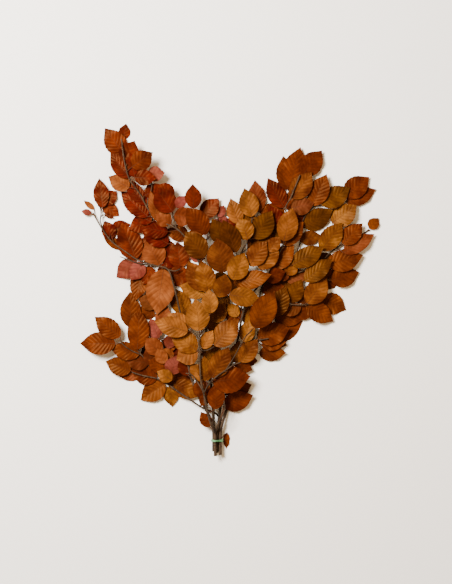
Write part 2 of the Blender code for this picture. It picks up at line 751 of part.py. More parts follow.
def branch_solid(branch, woods, leaves):
    """The branch's wood and leaves as one body, joined from the topmost leaf down."""
    pieces = []
    for k, wood in enumerate(woods):
        points = np.column_stack([wood["route"], wood["z"]])
        rows = ring_rows(points)
        pieces.append(tube(f"wood_{k}", points[rows], wood["radius"][rows],
                           resolution=0 if k else 1))
    pieces += [leaf_solid(f"leaf_{k}", leaf) for k, leaf in enumerate(leaves)]
    return fuse(branch.name, pieces[0], pieces[:0:-1])


def band_loop(stems, tilt):
    """A loop round the stems, a little off them, slanting along them by the tilt."""
    loop = []
    for k in range(BAND_POINTS):
        turn = 2 * math.pi * (k + 0.5) / BAND_POINTS
        out = (math.cos(turn), math.sin(turn))
        x, z, radius = max(stems, key=lambda s: s[0] * out[0] + s[1] * out[1] + s[2])
        off = radius + BAND_GAP + BAND_RADIUS
        loop.append((x + off * out[0], BAND_AT + tilt * math.cos(turn), z + off * out[1]))
    return loop


def band(branches):
    """The doubled elastic band that holds the stems."""
    stems = [(b.stem[0][0], *CUT[b.name]) for b in branches]
    loops = [tube(f"loop_{k}", band_loop(stems, tilt), [BAND_RADIUS] * BAND_POINTS, cyclic=True)
             for k, tilt in enumerate((BAND_TILT, -BAND_TILT))]
    return fuse("band", loops[0], loops[1:])


def build():
    for obj in list(bpy.data.objects):
        bpy.data.objects.remove(obj, do_unlink=True)
    home = bpy.data.collections.new("tied_beech_branches")
    bpy.context.scene.collection.children.link(home)
    heap, draw = Heap(), random.Random(SEED)
    branches = [lower_left(), left(), upper_left(), right(), upper_middle(), middle()]
    for branch in branches:
        woods, leaves = lay_branch(branch, heap, draw)
        finish(branch_solid(branch, woods, leaves), branch.colour, 0.5, home)
    finish(band(branches), (0.22, 0.50, 0.22), 0.6, home)


build()
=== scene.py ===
# %% [markdown]
# # A tied bunch of beech branches
#
# Six cut branches of copper beech lie flat on a table, tied with a green band near their cut ends.
# The leaves were picked in autumn and preserved, so they are supple, a little glossy and between
# deep red and golden brown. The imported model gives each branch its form. This script gives it its
# looks: pleated blades with veins and toothed margins, round wood with bark and buds, and the band.

import math
import random

import bpy
import numpy as np
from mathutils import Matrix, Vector


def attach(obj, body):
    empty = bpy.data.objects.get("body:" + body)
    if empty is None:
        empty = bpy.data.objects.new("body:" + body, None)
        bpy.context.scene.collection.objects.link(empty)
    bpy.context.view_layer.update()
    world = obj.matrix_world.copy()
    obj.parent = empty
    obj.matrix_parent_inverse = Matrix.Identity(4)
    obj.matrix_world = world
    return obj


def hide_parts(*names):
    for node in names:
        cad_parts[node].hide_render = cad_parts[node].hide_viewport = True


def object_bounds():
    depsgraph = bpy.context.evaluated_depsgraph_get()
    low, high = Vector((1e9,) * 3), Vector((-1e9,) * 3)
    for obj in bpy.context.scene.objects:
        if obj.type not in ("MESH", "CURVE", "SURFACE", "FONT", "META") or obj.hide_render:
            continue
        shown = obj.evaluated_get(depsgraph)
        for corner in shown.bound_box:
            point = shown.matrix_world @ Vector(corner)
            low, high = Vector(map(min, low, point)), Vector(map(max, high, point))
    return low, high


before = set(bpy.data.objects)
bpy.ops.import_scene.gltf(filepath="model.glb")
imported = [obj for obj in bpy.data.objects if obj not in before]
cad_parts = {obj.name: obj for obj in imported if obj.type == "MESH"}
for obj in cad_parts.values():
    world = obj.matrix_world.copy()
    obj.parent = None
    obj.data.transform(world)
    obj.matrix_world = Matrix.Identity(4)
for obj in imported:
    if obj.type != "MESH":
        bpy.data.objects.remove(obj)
cad_box = [list(corner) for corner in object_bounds()]
print("CAD box", cad_box)

# %% [markdown]
# ## Where everything lies
#
# The plan is seen from above, in millimetres: x to the right, y from the cut ends to the crown.
# A leaf is a starting point, a heading in degrees, a length and a breadth. The frame's origin is
# the spot that the bunch rests on, so one function turns plan millimetres into scene metres.

# %% The plan's own units
MM = 0.001
REST_SPOT = (-23.0, 315.0)
BREADTH_SHARE = 0.66


def in_metres(plan):
    """Plan points in millimetres, one in each row, as scene points in metres."""
    return (np.asarray(plan, float) - (*REST_SPOT, 0)) * MM


class Leaf:
    """One leaf: where its blade starts, which way it points, and its length and breadth."""

    def __init__(self, x, y, heading, length, breadth=None):
        self.base = (x, y)
        self.heading = math.radians(heading)
        self.length = length
        self.breadth = breadth or length * BREADTH_SHARE


print("the plan's millimetre is", MM, "of a scene metre")

# %% [markdown]
# ## The six branches
#
# A branch holds the points of its stem and twigs, and its leaves from the lowest to the topmost:
# first the few that lie flat on the table, then the rest. Each leaf also has a letter for how it
# looks from above: R deep red, O burnt orange, G golden, T tan, B olive brown, and three for
# leaves that show their paler backs: S salmon, P dusty pink, M mauve. Writing them as one string
# keeps their order in plain sight.


# %% A branch
class Branch:
    """One cut branch. The share beneath says how many of its leaves lie under its own wood."""

    def __init__(self, name, beneath, tones, stem, twigs, flat, leaves):
        self.name, self.beneath, self.stem, self.twigs = name, beneath, stem, twigs
        self.leaves = [Leaf(*row) for row in flat + leaves]
        for k, leaf in enumerate(self.leaves):
            leaf.flat, leaf.tone = k < len(flat), tones[k]
        print(name, "has", len(self.leaves), "leaves on", 1 + len(twigs), "pieces of wood")


# %% The lower left branch, the first on the table
lower_left = Branch(
    "branch_lower_left", beneath=0.57,
    tones="OOROOOGGOSOOMOOOOMPSOMSPSOSPT",
    stem=[(3.9, 2), (3.9, 40), (7, 62), (5, 80), (-8, 92), (-30, 101), (-62, 122), (-90, 141),
          (-115, 158), (-140, 170), (-168, 176), (-195, 184)],
    twigs=[
        [(-115, 158), (-135, 178), (-154, 202), (-172, 224), (-182, 236)],
        [(-172, 224), (-198, 236), (-214, 248), (-222, 260)],
        [(-115, 158), (-107, 180), (-116, 204), (-120, 232), (-128, 262), (-138, 298),
         (-143, 326)],
        [(-176, 229), (-188, 256), (-196, 284)],
    ],
    flat=[(-152, 196, 95, 62)],
    leaves=[(-104, 150, 84, 44, 34), (-108, 214, 50, 44, 32), (-70, 140, 110, 51, 40),
            (-143, 312, 150, 42, 34), (-120, 232, 60, 46, 36), (-107, 153, 275, 50, 36),
            (-100, 158, -27, 66, 44), (-120, 158, 215, 68, 48), (-172, 178, 178, 60, 30),
            (-138, 168, 160, 62, 46), (-198, 188, 160, 62, 44), (-156, 206, 172, 56, 40),
            (-178, 226, 168, 68, 42), (-198, 286, 91, 84, 48), (-232, 250, 180, 83, 52),
            (-221, 266, 142, 74, 44), (-143, 330, 140, 48, 34), (-134, 262, 113, 50, 38),
            (-132, 290, 70, 52, 36), (-182, 236, 88, 95, 50), (-150, 200, 100, 45, 30),
            (-128, 228, 135, 50, 40), (-112, 238, 75, 36, 28), (-98, 224, 172, 38, 28),
            (-118, 190, 150, 46, 34), (-118, 206, 118, 38, 30), (-106, 180, 72, 46, 40),
            (-102, 168, 150, 40, 32)])

# %% The left branch
left = Branch(
    "branch_left", beneath=0.84,
    tones="GRORRRRGRORPPRRSRRSRRRRSP",
    stem=[(-3.9, -3), (-3.9, 40), (-9, 62), (-18, 85), (-30, 108), (-46, 140), (-60, 180),
          (-70, 230), (-76, 280), (-86, 330), (-98, 380), (-112, 419), (-140, 428), (-180, 441),
          (-206, 458), (-240, 483), (-262, 511), (-276, 534), (-284, 549)],
    twigs=[
        [(-140, 428), (-180, 434), (-222, 449)],
        [(-262, 511), (-267, 532), (-266, 550), (-270, 570)],
        [(-112, 419), (-96, 416), (-82, 421)],
    ],
    flat=[(-56, 298, 25, 70), (-196, 452, 80, 60)],
    leaves=[(-172, 420, 258, 74, 42), (-244, 508, 20, 48, 34), (-176, 440, 80, 58, 36),
            (-66, 178, 110, 46, 34), (-104, 424, 98, 68, 46), (-68, 316, 122, 72, 46),
            (-138, 412, 12, 50, 36), (-222, 466, 137, 58, 24), (-150, 426, 246, 46, 36),
            (-184, 438, 218, 60, 46), (-170, 436, 236, 50, 38), (-240, 490, 113, 46, 34),
            (-186, 442, 111, 92, 58), (-132, 430, 116, 64, 56), (-84, 424, 97, 60, 50),
            (-112, 410, -14, 58, 48), (-122, 420, 262, 106, 66), (-262, 570, -36, 46, 32),
            (-261, 572, 42, 42, 34), (-262, 562, 97, 68, 36), (-259, 546, -20, 24, 9),
            (-282, 558, 140, 32, 13), (-288, 549, 168, 24, 15)])

# %% The upper left branch
upper_left = Branch(
    "branch_upper_left", beneath=0.47,
    tones="RORRRRRSRRRRRRPRORSSRPSPPRRPOOPB",
    stem=[(-7.8, 3), (-7.8, 40), (-8, 62), (-8, 90), (-12, 140), (-20, 200), (-24, 260),
          (-27, 330), (-32, 390), (-46, 452), (-70, 490), (-92, 512), (-120, 525), (-142, 537),
          (-160, 562), (-172, 586), (-187, 607), (-200, 627), (-209, 660), (-214, 692),
          (-217, 716)],
    twigs=[
        [(-92, 512), (-97, 530), (-101, 547), (-96, 562), (-88, 578)],
        [(-46, 452), (-30, 480), (-12, 504), (-4, 524), (4, 540)],
        [(-12, 504), (-34, 532), (-52, 556)],
        [(-160, 562), (-152, 588), (-148, 610), (-150, 626)],
    ],
    flat=[],
    leaves=[(-148, 536, 205, 60, 44), (-66, 500, 172, 54, 38), (-112, 478, 150, 72, 46),
            (-112, 506, 170, 66, 40), (-150, 528, 150, 40, 30), (-158, 540, 137, 86, 44),
            (-162, 567, 128, 78, 34), (-200, 606, 152, 54, 40), (-217, 718, 78, 38, 28),
            (-212, 684, 127, 76, 50), (-198, 628, 128, 74, 40), (-210, 662, 66, 56, 46),
            (-165, 588, 30, 48, 34), (-186, 630, 104, 58, 40), (-158, 634, 8, 40, 36),
            (-97, 590, 153, 46, 34), (-193, 652, 35, 58, 46), (-187, 628, -2, 50, 37),
            (-134, 529, 104, 72, 26), (-104, 524, 150, 42, 36), (-100, 550, 125, 68, 52),
            (-93, 560, 48, 36, 26), (-97, 543, -12, 44, 44), (2, 538, -35, 34, 26),
            (4, 540, 66, 30, 22), (-53, 558, 92, 56, 38), (-34, 540, 48, 58, 42),
            (-14, 496, 50, 56, 40), (-22, 500, 128, 76, 50), (-62, 506, 292, 72, 50),
            (-60, 448, -8, 34, 24), (-28, 446, 126, 74, 52)])

# %% The right branch
right = Branch(
    "branch_right", beneath=0.52,
    tones="BOROOOBOMOOOOOOMMBOOBGOOSOOOOGBGGBOBMGB",
    stem=[(7.8, -5), (7.8, 40), (11, 62), (20, 90), (36, 130), (60, 190), (82, 255), (90, 310),
          (97, 355), (112, 390), (155, 401), (200, 418), (240, 440), (262, 460), (290, 479),
          (318, 493), (338, 503), (349, 512)],
    twigs=[
        [(82, 255), (98, 258), (118, 262)],
        [(90, 310), (108, 302), (134, 308)],
        [(97, 355), (130, 346), (168, 340), (202, 339), (234, 346)],
        [(200, 418), (230, 404), (260, 394)],
        [(155, 401), (172, 440), (190, 478), (197, 530), (215, 558), (238, 570), (268, 574),
         (296, 580)],
        [(240, 440), (238, 462), (255, 495), (270, 518)],
    ],
    flat=[(214, 428, 18, 66), (124, 262, 28, 84, 46)],
    leaves=[(200, 516, 108, 46, 32), (118, 262, -22, 46, 34), (23, 45, 268, 38, 15),
            (132, 305, 4, 72, 36), (120, 388, -6, 76, 44), (100, 374, 8, 56, 40),
            (160, 394, 20, 54, 36), (178, 316, 14, 48, 36), (238, 382, 36, 60, 44),
            (56, 212, -4, 38, 30), (97, 227, 2, 62, 38), (102, 246, 8, 58, 30),
            (92, 264, 16, 78, 54), (192, 336, 204, 48, 30), (203, 342, 118, 46, 32),
            (166, 344, 62, 60, 40), (240, 352, -24, 62, 50), (206, 338, -32, 72, 46),
            (134, 312, 72, 74, 44), (206, 342, 55, 78, 50), (262, 394, 17, 68, 48),
            (254, 432, 14, 84, 52), (290, 458, 31, 84, 38), (288, 478, 46, 66, 42),
            (350, 513, 50, 33, 27), (298, 574, 24, 74, 40), (293, 588, 38, 72, 50),
            (264, 526, 36, 70, 52), (202, 516, 33, 76, 48), (190, 488, 10, 52, 34),
            (238, 464, 52, 80, 48), (238, 569, 30, 78, 50), (218, 566, 65, 80, 48),
            (200, 393, 38, 82, 42), (138, 400, 30, 34, 30), (163, 406, 68, 36, 32),
            (172, 430, 30, 84, 46)])

# %% The upper middle branch
upper_middle = Branch(
    "branch_upper_middle", beneath=0.62,
    tones="OGBRBOGBOBOOGOSORROOOMGTTBGGGGTTBBGTGGOTGT",
    stem=[(0, 0), (0, 40), (3, 62), (6, 90), (14, 140), (30, 200), (48, 260), (60, 320), (80, 362),
          (102, 390), (120, 420), (140, 452), (154, 485), (162, 525), (157, 560), (168, 582),
          (178, 606), (190, 636)],
    twigs=[
        [(60, 320), (46, 370), (44, 420), (58, 462), (71, 488), (78, 512), (80, 538)],
        [(44, 400), (28, 402), (14, 408)],
        [(46, 365), (28, 358), (8, 355), (-20, 362)],
        [(51, 442), (38, 452), (24, 468)],
    ],
    flat=[],
    leaves=[(176, 552, 100, 52, 38), (72, 292, 92, 52, 34), (42, 366, 100, 44, 32),
            (68, 512, 150, 50, 34), (150, 480, 120, 44, 30), (60, 318, 178, 50, 42),
            (28, 358, 216, 46, 34), (28, 402, 198, 51, 38), (156, 548, 172, 64, 42),
            (78, 512, 105, 51, 36), (124, 424, 44, 74, 48), (110, 398, 20, 50, 36),
            (70, 468, 28, 70, 46), (150, 476, 48, 72, 44), (96, 552, 97, 74, 42),
            (140, 540, 155, 34, 28), (148, 512, 118, 62, 40), (154, 562, 119, 78, 44),
            (163, 602, 98, 80, 46), (168, 606, 76, 98, 56), (197, 636, 52, 72, 50),
            (170, 560, 12, 54, 42), (172, 582, 54, 76, 48), (50, 524, 108, 62, 38),
            (80, 540, 105, 68, 46), (86, 490, 58, 76, 50), (71, 488, 112, 54, 44),
            (98, 420, 60, 76, 48), (118, 460, 55, 42, 32), (74, 428, 55, 68, 46),
            (152, 484, 75, 80, 48), (48, 312, 128, 38, 28), (20, 472, 116, 70, 44),
            (44, 458, 112, 80, 48), (14, 412, 100, 80, 62), (-28, 362, 160, 62, 40),
            (-26, 372, 121, 78, 50), (-20, 368, 103, 74, 48), (38, 386, 14, 90, 42),
            (35, 396, 66, 68, 50), (4, 356, 72, 56, 44), (28, 362, -10, 74, 44)])

# %% The middle branch, on top of the bundle
middle = Branch(
    "branch_middle", beneath=0.85,
    tones="OGOGOOOOOTGOGGGGOGGTTGTTTT",
    stem=[(-3.9, -7), (-3.9, 30), (-5, 50), (-12, 66), (-19, 88), (-25, 115), (-31, 145),
          (-36, 168), (-38, 200), (-39, 235), (-41, 262), (-33, 283), (-22, 303), (-16, 318)],
    twigs=[
        [(-41, 262), (-52, 277), (-60, 284)],
        [(-5, 50), (2, 66), (11, 84), (18, 103), (16, 122)],
        [(-29, 140), (-44, 164), (-58, 181), (-71, 184)],
        [(-29, 140), (-18, 160), (0, 177), (20, 191), (40, 204), (54, 208)],
        [(20, 191), (42, 226), (60, 260), (82, 284)],
        [(-39, 235), (-22, 236), (-6, 244)],
    ],
    flat=[],
    leaves=[(-27, 128, 112, 48, 40), (-36, 226, 8, 51, 40), (40, 204, -20, 44, 34),
            (-22, 303, -40, 38, 30), (-17, 60, 120, 40, 28), (-22, 134, 240, 30, 24),
            (20, 134, 20, 64, 44), (16, 105, 22, 73, 46), (-4, 102, 86, 62, 40),
            (-33, 166, 122, 50, 32), (-24, 166, 95, 58, 36), (-10, 164, 8, 88, 62),
            (46, 204, 85, 52, 38), (-12, 174, 60, 80, 48), (54, 208, 54, 66, 42),
            (62, 254, 72, 56, 36), (85, 287, 62, 96, 58), (-12, 300, 55, 54, 40),
            (-5, 246, 48, 82, 52), (-33, 240, 60, 48, 32), (-45, 236, 205, 52, 50),
            (-46, 234, 140, 78, 50), (-60, 288, 150, 62, 38), (-66, 278, 162, 80, 46),
            (-40, 280, 97, 74, 54), (-14, 320, 94, 56, 38)])

BRANCHES = [lower_left, left, upper_left, right, upper_middle, middle]

# %% [markdown]
# ## Laying the heap
#
# Real leaves sag onto what is beneath them. To get that without a simulation, the heap is kept as
# a height field over the plan: each blade is laid as low as it goes with a gentle bend, then added
# to the field, and each stem is laid over the blades that are beneath it. The numbers are those
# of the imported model, so that every piece here lies where its solid does.

# %% How wood and blades are laid
STEM_TIP_RADIUS = 1.5
TWIG_RADIUS = 2.0
TWIG_TIP_RADIUS = 1.3
ROUTE_STEP = 2.0
WOOD_GAP = 0.7
LOW_ROW, MIDDLE_ROW, TOP_ROW = 7.0, 13.76, 20.52
STEM_RADIUS = 3.5
CUT = {"branch_lower_left": (LOW_ROW, 2.8), "branch_left": (LOW_ROW, STEM_RADIUS),
       "branch_upper_left": (MIDDLE_ROW, STEM_RADIUS), "branch_right": (MIDDLE_ROW, STEM_RADIUS),
       "branch_upper_middle": (MIDDLE_ROW, STEM_RADIUS), "branch_middle": (TOP_ROW, STEM_RADIUS)}
STRAIGHT_TO, CLEAR_FROM = 40.0, 66.0
THICKNESS = 0.9
WIDEST_AT = 0.43
FULLNESS = 0.70
MARGIN_WAVES = 3
STALK_RUN_BACK = 6.0
STALK_HALF = 0.9
LARGE_LEAF = 90.0
SMALL_LEAF = 62.0
SEGMENTS = {"large": 5, "middle": 4, "small": 3}
GAP_COST, OFF_COST, ROLL_COST = 4, 36, 14
FORK_SHARE, FORK_CLEAR = 0.85, 6
STEM_TAPER, TWIG_TAPER = 1.3, 1.0
SIDE_ROOM = 1.0
CELL = 2.0
GRID_LOW = (-370.0, -30.0)
GRID_CELLS = (400, 410)
CLEARANCE = 1.3
FLOOR_CLEARANCE = 0.3
LEAF_EASE = 0.005  # how fast a blade may curve, per millimetre
ROLLS = np.linspace(-0.30, 0.30, 9)
MOST_DROP = 5.0
JOIN_RUN = 5.0
LIFT_RUN = 14.0
SEAT = 6.0
STEM_EASE = 0.0035  # how fast a stem may curve down from what it lies on, per millimetre
SEED = 1
print("the heap is laid on", GRID_CELLS, "cells of", CELL, "mm")


# %% A smooth route for wood
def smooth_route(points, step=ROUTE_STEP):
    """Points every step millimetres on a smooth curve through the route's own points."""
    own = [Vector((x, y, 0)) for x, y in points]
    ends = [own[0] * 2 - own[1]] + own + [own[-1] * 2 - own[-2]]
    route = []
    for a, b, c, d in zip(ends, ends[1:], ends[2:], ends[3:]):
        count = max(1, round((c - b).length / step))
        for i in range(count):
            t = i / count
            route.append(0.5 * (2 * b + (c - a) * t + (2 * a - 5 * b + 4 * c - d) * t * t
                                + (3 * b - a - 3 * c + d) * t ** 3))
    route.append(own[-1])
    return np.array([(p.x, p.y) for p in route])


def side_of(route):
    """The plan direction to the left of the route at each of its points."""
    way = np.gradient(route, axis=0)
    way /= np.linalg.norm(way, axis=1)[:, None]
    return np.stack([-way[:, 1], way[:, 0]], axis=1)


print("a bend of three points has", len(smooth_route([(0, 0), (20, 10), (40, 0)])), "points")


# %% The form of a blade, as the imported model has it
def half_breadth(u, leaf, fullness=FULLNESS):
    """Half the blade's breadth at the share u of its length: ovate, with a short point."""
    bend = math.log(0.5) / math.log(WIDEST_AT)
    return 0.5 * leaf.breadth * np.sin(np.pi * np.clip(u, 0, 1) ** bend) ** fullness


def give_habit(leaf, draw):
    """The seeded small differences between leaves: fold, curl, wave, lift of the tip and roll."""
    leaf.fold, leaf.curl, leaf.wave, leaf.lift, leaf.lean = (
        draw.uniform(0.02, 0.11), draw.uniform(0.0, 0.14), draw.uniform(0.6, 1.4),
        draw.uniform(0.0, 0.05), draw.uniform(-0.12, 0.12))
    if leaf.flat:
        leaf.fold = leaf.curl = leaf.wave = leaf.lift = leaf.lean = 0.0


def blade_rise(u, v, across, leaf):
    """The blade's height above its midrib's own line, at the share u along it and v across it."""
    wave = math.cos(2 * math.pi * MARGIN_WAVES * u) * math.sin(math.pi * u) ** 0.5
    return (leaf.fold * abs(across) - leaf.curl * across * across / leaf.breadth
            + leaf.wave * v * v * wave)


def row_count(leaf):
    """The rows that the blade is built of, between its base and its tip."""
    size = ("large" if leaf.length >= LARGE_LEAF else
            "middle" if leaf.length >= SMALL_LEAF else "small")
    return SEGMENTS[size]


def blade_net(leaf):
    """The blade's points as (along, across, rise), and its triangles, each side vein an edge."""
    count = row_count(leaf)
    points = [(0.0, STALK_HALF, 0.0), (0.0, -STALK_HALF, 0.0)]
    for i in range(1, count):
        u = i / count
        half = float(half_breadth(u, leaf))
        for v in (1, 0, -1):
            points.append((u * leaf.length, v * half, blade_rise(u, v, v * half, leaf)))
    points.append((leaf.length, 0.0, 0.0))
    faces = [(0, 3, 2), (0, 1, 3), (1, 4, 3)]
    for i in range(count - 2):
        left, mid, right = (2 + 3 * i, 3 + 3 * i, 4 + 3 * i)
        faces += [(mid, mid + 3, left + 3), (mid, left + 3, left),
                  (mid, right + 3, mid + 3), (mid, right, right + 3)]
    left, mid, right = (3 * count - 4, 3 * count - 3, 3 * count - 2)
    faces += [(left, mid, mid + 2), (mid, right, mid + 2)]
    return np.array(points), faces


def plan_of(leaf, along, across):
    """The plan's x and y of a point on the blade; across is positive to the left of the tip."""
    c, s = math.cos(leaf.heading), math.sin(leaf.heading)
    return leaf.base[0] + along * c - across * s, leaf.base[1] + along * s + across * c


def spread(corners, spacing=1.5):
    """Points over a triangle, no further apart than the spacing."""
    a, b, c = corners
    longest = max(np.linalg.norm(b - a), np.linalg.norm(c - a), np.linalg.norm(c - b))
    count = int(longest / spacing) + 1
    return [a + (b - a) * (i / count) + (c - a) * (j / count)
            for i in range(count + 1) for j in range(count + 1 - i)]


print("a 70 mm blade has", row_count(Leaf(0, 0, 0, 70)), "rows of triangles")


# %% The heap
class Heap:
    """The height of the topmost surface so far over the plan: of blades alone, and with wood."""

    def __init__(self):
        self.blades = np.zeros(GRID_CELLS)
        self.tops = np.zeros(GRID_CELLS)
        self.wood = []

    def cells(self, x, y):
        i = np.rint((np.asarray(x) - GRID_LOW[0]) / CELL).astype(int)
        j = np.rint((np.asarray(y) - GRID_LOW[1]) / CELL).astype(int)
        return i, j

    def free(self, x, y, tops):
        """The lowest height that is clear of the heap at each point."""
        i, j = self.cells(x, y)
        top = np.max([tops[i + a, j + b] for a in (-1, 0, 1) for b in (-1, 0, 1)], axis=0)
        return np.where(top > 0, top + CLEARANCE, FLOOR_CLEARANCE)

    def add_blade(self, x, y, z):
        at = self.cells(x, y)
        np.maximum.at(self.blades, at, z)
        np.maximum.at(self.tops, at, z)

    def add_wood(self, wood):
        self.wood.append(wood)
        normal = side_of(wood["route"])
        for side in np.linspace(-1, 1, 5):
            offset = side * wood["radius"]
            x, y = (wood["route"] + normal * offset[:, None]).T
            np.maximum.at(self.tops, self.cells(x, y),
                          wood["z"] + np.sqrt(np.maximum(wood["radius"] ** 2 - offset ** 2, 0)))


print("each blade is laid", CLEARANCE, "mm above the top of the one beneath")


# %% Laying a leaf
def lay_leaf(leaf, heap, twig_height):
    """Drapes a blade: the lowest gentle curve for its midrib, and the roll, that clear the heap."""
    points, faces = blade_net(leaf)
    along, across, rise = np.array([p for f in faces for p in spread(points[list(f)])]).T
    x, y = plan_of(leaf, along, across)
    count = row_count(leaf)
    stations = np.linspace(0, leaf.length, count + 1)
    leaf.roll, leaf.spine = 0.0, np.zeros(count + 1)
    if not leaf.flat:
        free = heap.free(x, y, heap.tops)
        band = np.clip((along / leaf.length * count).astype(int), 0, count - 1)
        bends = LEAF_EASE * (stations[:, None] - stations[None, :]) ** 2
        best = None
        for roll in ROLLS:
            surface = rise + roll * across
            needed = np.full(count + 1, -np.inf)
            np.maximum.at(needed, band, free - surface)
            np.maximum.at(needed, band + 1, free - surface)
            if twig_height is not None:
                needed[0] = max(needed[0], twig_height - MOST_DROP)
            spine = (needed[None, :] - bends).max(axis=1) + leaf.lift * stations
            gap = (np.interp(along, stations, spine) + surface - free).mean()
            off = 0.0 if twig_height is None else abs(spine[0] - twig_height)
            cost = gap / GAP_COST + off * off / OFF_COST + ROLL_COST * (roll - leaf.lean) ** 2
            if best is None or cost < best[0]:
                best = (cost, roll, spine)
        leaf.roll, leaf.spine = best[1:]
    z = np.interp(along, stations, leaf.spine) + rise + leaf.roll * across
    heap.add_blade(x, y, z + THICKNESS)


print("a blade rolls by up to", round(math.degrees(math.atan(ROLLS[-1]))), "degrees")


# %% Laying wood
def lay_route(points, radii, heap, start, skip, straight_to=None):
    """The lowest smooth line for a stem that clears the blades and the wood beneath it."""
    route = smooth_route(points)
    share = np.linspace(0, 1, len(route))
    radius = radii[0] + (radii[1] - radii[0]) * np.minimum(1, share * radii[2])
    run = np.concatenate([[0], np.cumsum(np.linalg.norm(np.diff(route, axis=0), axis=1))])
    normal = side_of(route)
    needed = radius + FLOOR_CLEARANCE
    for side in np.linspace(-1, 1, 7):
        x, y = (route + normal * (side * (radius + SIDE_ROOM))[:, None]).T
        needed = np.maximum(needed, heap.free(x, y, heap.blades) + radius)
    for other in heap.wood:
        apart = np.linalg.norm(route[:, None] - other["route"][None], axis=2)
        reach = radius[:, None] + other["radius"][None] + WOOD_GAP
        over = other["z"][None] + np.sqrt(np.maximum(reach ** 2 - apart ** 2, 0))
        needed = np.maximum(needed, np.where(apart < reach, over, 0).max(axis=1))
    free = run >= skip if straight_to is None else route[:, 1] > straight_to
    needed = np.where(free, needed, start)
    wood = {"route": route, "radius": radius, "run": run, "z": needed, "needed": needed}
    if straight_to is not None:
        share = np.clip((route[:, 1] - straight_to) / (CLEAR_FROM - straight_to), 0, 1)
        wood["from_cut"] = share * share * (3 - 2 * share)
    ease_wood(wood, start, JOIN_RUN)
    return wood


def ease_wood(wood, start, join):
    """The lowest smooth line over what the wood needs, that starts where the wood does."""
    run = wood["run"]
    z = (wood["needed"][None, :] - STEM_EASE * (run[:, None] - run[None, :]) ** 2).max(axis=1)
    if "from_cut" in wood:
        wood["z"] = start + (z - start) * wood["from_cut"]
    else:
        wood["z"] = z + (start - z[0]) * np.exp(-run / join)


def raise_wood(woods, leaves):
    """Lifts the wood to within reach of the leaves that it carries."""
    for leaf in leaves:
        wood, at = nearest_wood(leaf, woods)
        wood["needed"][at] = max(wood["needed"][at], leaf.spine[0] - SEAT)
    for wood in woods:
        before = wood["z"]
        if "foot" in wood:
            parent, at = wood["foot"]
            ease_wood(wood, parent["z"][at], LIFT_RUN)
        else:
            ease_wood(wood, before[0], JOIN_RUN)
        wood["z"] = np.maximum(wood["z"], before)


def lay_twig(points, heap, woods):
    """A twig that starts in the nearest wood of its own branch."""
    foot = np.array(points[0], float)
    parent = min(woods, key=lambda w: np.linalg.norm(w["route"] - foot, axis=1).min())
    at = int(np.linalg.norm(parent["route"] - foot, axis=1).argmin())
    thick = min(TWIG_RADIUS, parent["radius"][at] * FORK_SHARE)
    twig = lay_route(points, (thick, TWIG_TIP_RADIUS, TWIG_TAPER), heap, parent["z"][at],
                     parent["radius"][at] + FORK_CLEAR)
    twig["foot"] = (parent, at)
    return twig


def nearest_wood(leaf, woods):
    """The wood that a leaf grows on, and the index of the point nearest to the leaf."""
    base = np.array(leaf.base)
    wood = min(woods, key=lambda w: np.linalg.norm(w["route"] - base, axis=1).min())
    return wood, int(np.linalg.norm(wood["route"] - base, axis=1).argmin())


print("twigs are up to", 2 * TWIG_RADIUS, "mm thick, and", 2 * TWIG_TIP_RADIUS, "mm at the tip")


# %% Laying a whole branch
def lay_branch(branch, heap, draw):
    """Lays one branch on the heap: the leaves beneath it, its wood, then the leaves on top."""
    leaves = branch.leaves
    for leaf in leaves:
        give_habit(leaf, draw)
    low = round(branch.beneath * len(leaves))
    for leaf in leaves[:low]:
        lay_leaf(leaf, heap, None)
    height, thick = CUT[branch.name]
    radii = (thick, STEM_TIP_RADIUS, STEM_TAPER)
    woods = [lay_route(branch.stem, radii, heap, height, 0, STRAIGHT_TO)]
    for points in branch.twigs:
        woods.append(lay_twig(points, heap, woods))
    for wood in woods:
        heap.add_wood(wood)
    for leaf in leaves[low:]:
        wood, at = nearest_wood(leaf, woods)
        lay_leaf(leaf, heap, wood["z"][at])
    heap.wood = heap.wood[:-len(woods)]
    raise_wood(woods, leaves)
    for wood in woods:
        heap.add_wood(wood)
    for leaf in leaves:
        leaf.wood, at = nearest_wood(leaf, woods)
        back = max(STALK_RUN_BACK, abs(leaf.wood["z"][at] - leaf.spine[0]))
        leaf.foot = max(0, at - round(back / ROUTE_STEP))
    return woods


heap, draw = Heap(), random.Random(SEED)
for branch in BRANCHES:
    branch.woods = lay_branch(branch, heap, draw)
    print(branch.name, "rises to", round(max(float(w["z"].max()) for w in branch.woods), 1), "mm")

# %% [markdown]
# ## Colours and nodes
#
# Blender's shaders work with linear light, while a colour picker shows sRGB. One function turns a
# hex value into linear numbers. A second one adds a shader node with its settings and its links,
# and a third starts a material, which keeps the recipes below short enough to read.


# %% Colours, nodes and new materials
def linear(hex_value):
    """An sRGB hex value as linear red, green, blue and alpha."""
    parts = [int(hex_value[i:i + 2], 16) / 255 for i in (1, 3, 5)]
    return (*[p / 12.92 if p <= 0.04045 else ((p + 0.055) / 1.055) ** 2.4 for p in parts], 1.0)


def add(tree, kind, inputs=None, **settings):
    """A node with its settings. Each input gets a value, an output or a node's first output."""
    made = tree.nodes.new("ShaderNode" + kind)
    for key, value in settings.items():
        setattr(made, key, value)
    for key, value in (inputs or {}).items():
        if isinstance(value, bpy.types.Node):
            value = value.outputs[0]
        if isinstance(value, bpy.types.NodeSocket):
            tree.links.new(value, made.inputs[key])
        else:
            made.inputs[key].default_value = value
    return made


def new_material(name):
    """A new material, its node tree, and the place on the object as an output, in metres."""
    material = bpy.data.materials.new(name)
    material.use_nodes = True
    tree = material.node_tree
    tree.nodes.clear()
    return material, tree, add(tree, "TexCoord").outputs["Object"]


print("burnt orange in linear light", [round(v, 3) for v in linear("#a84a08")[:3]])

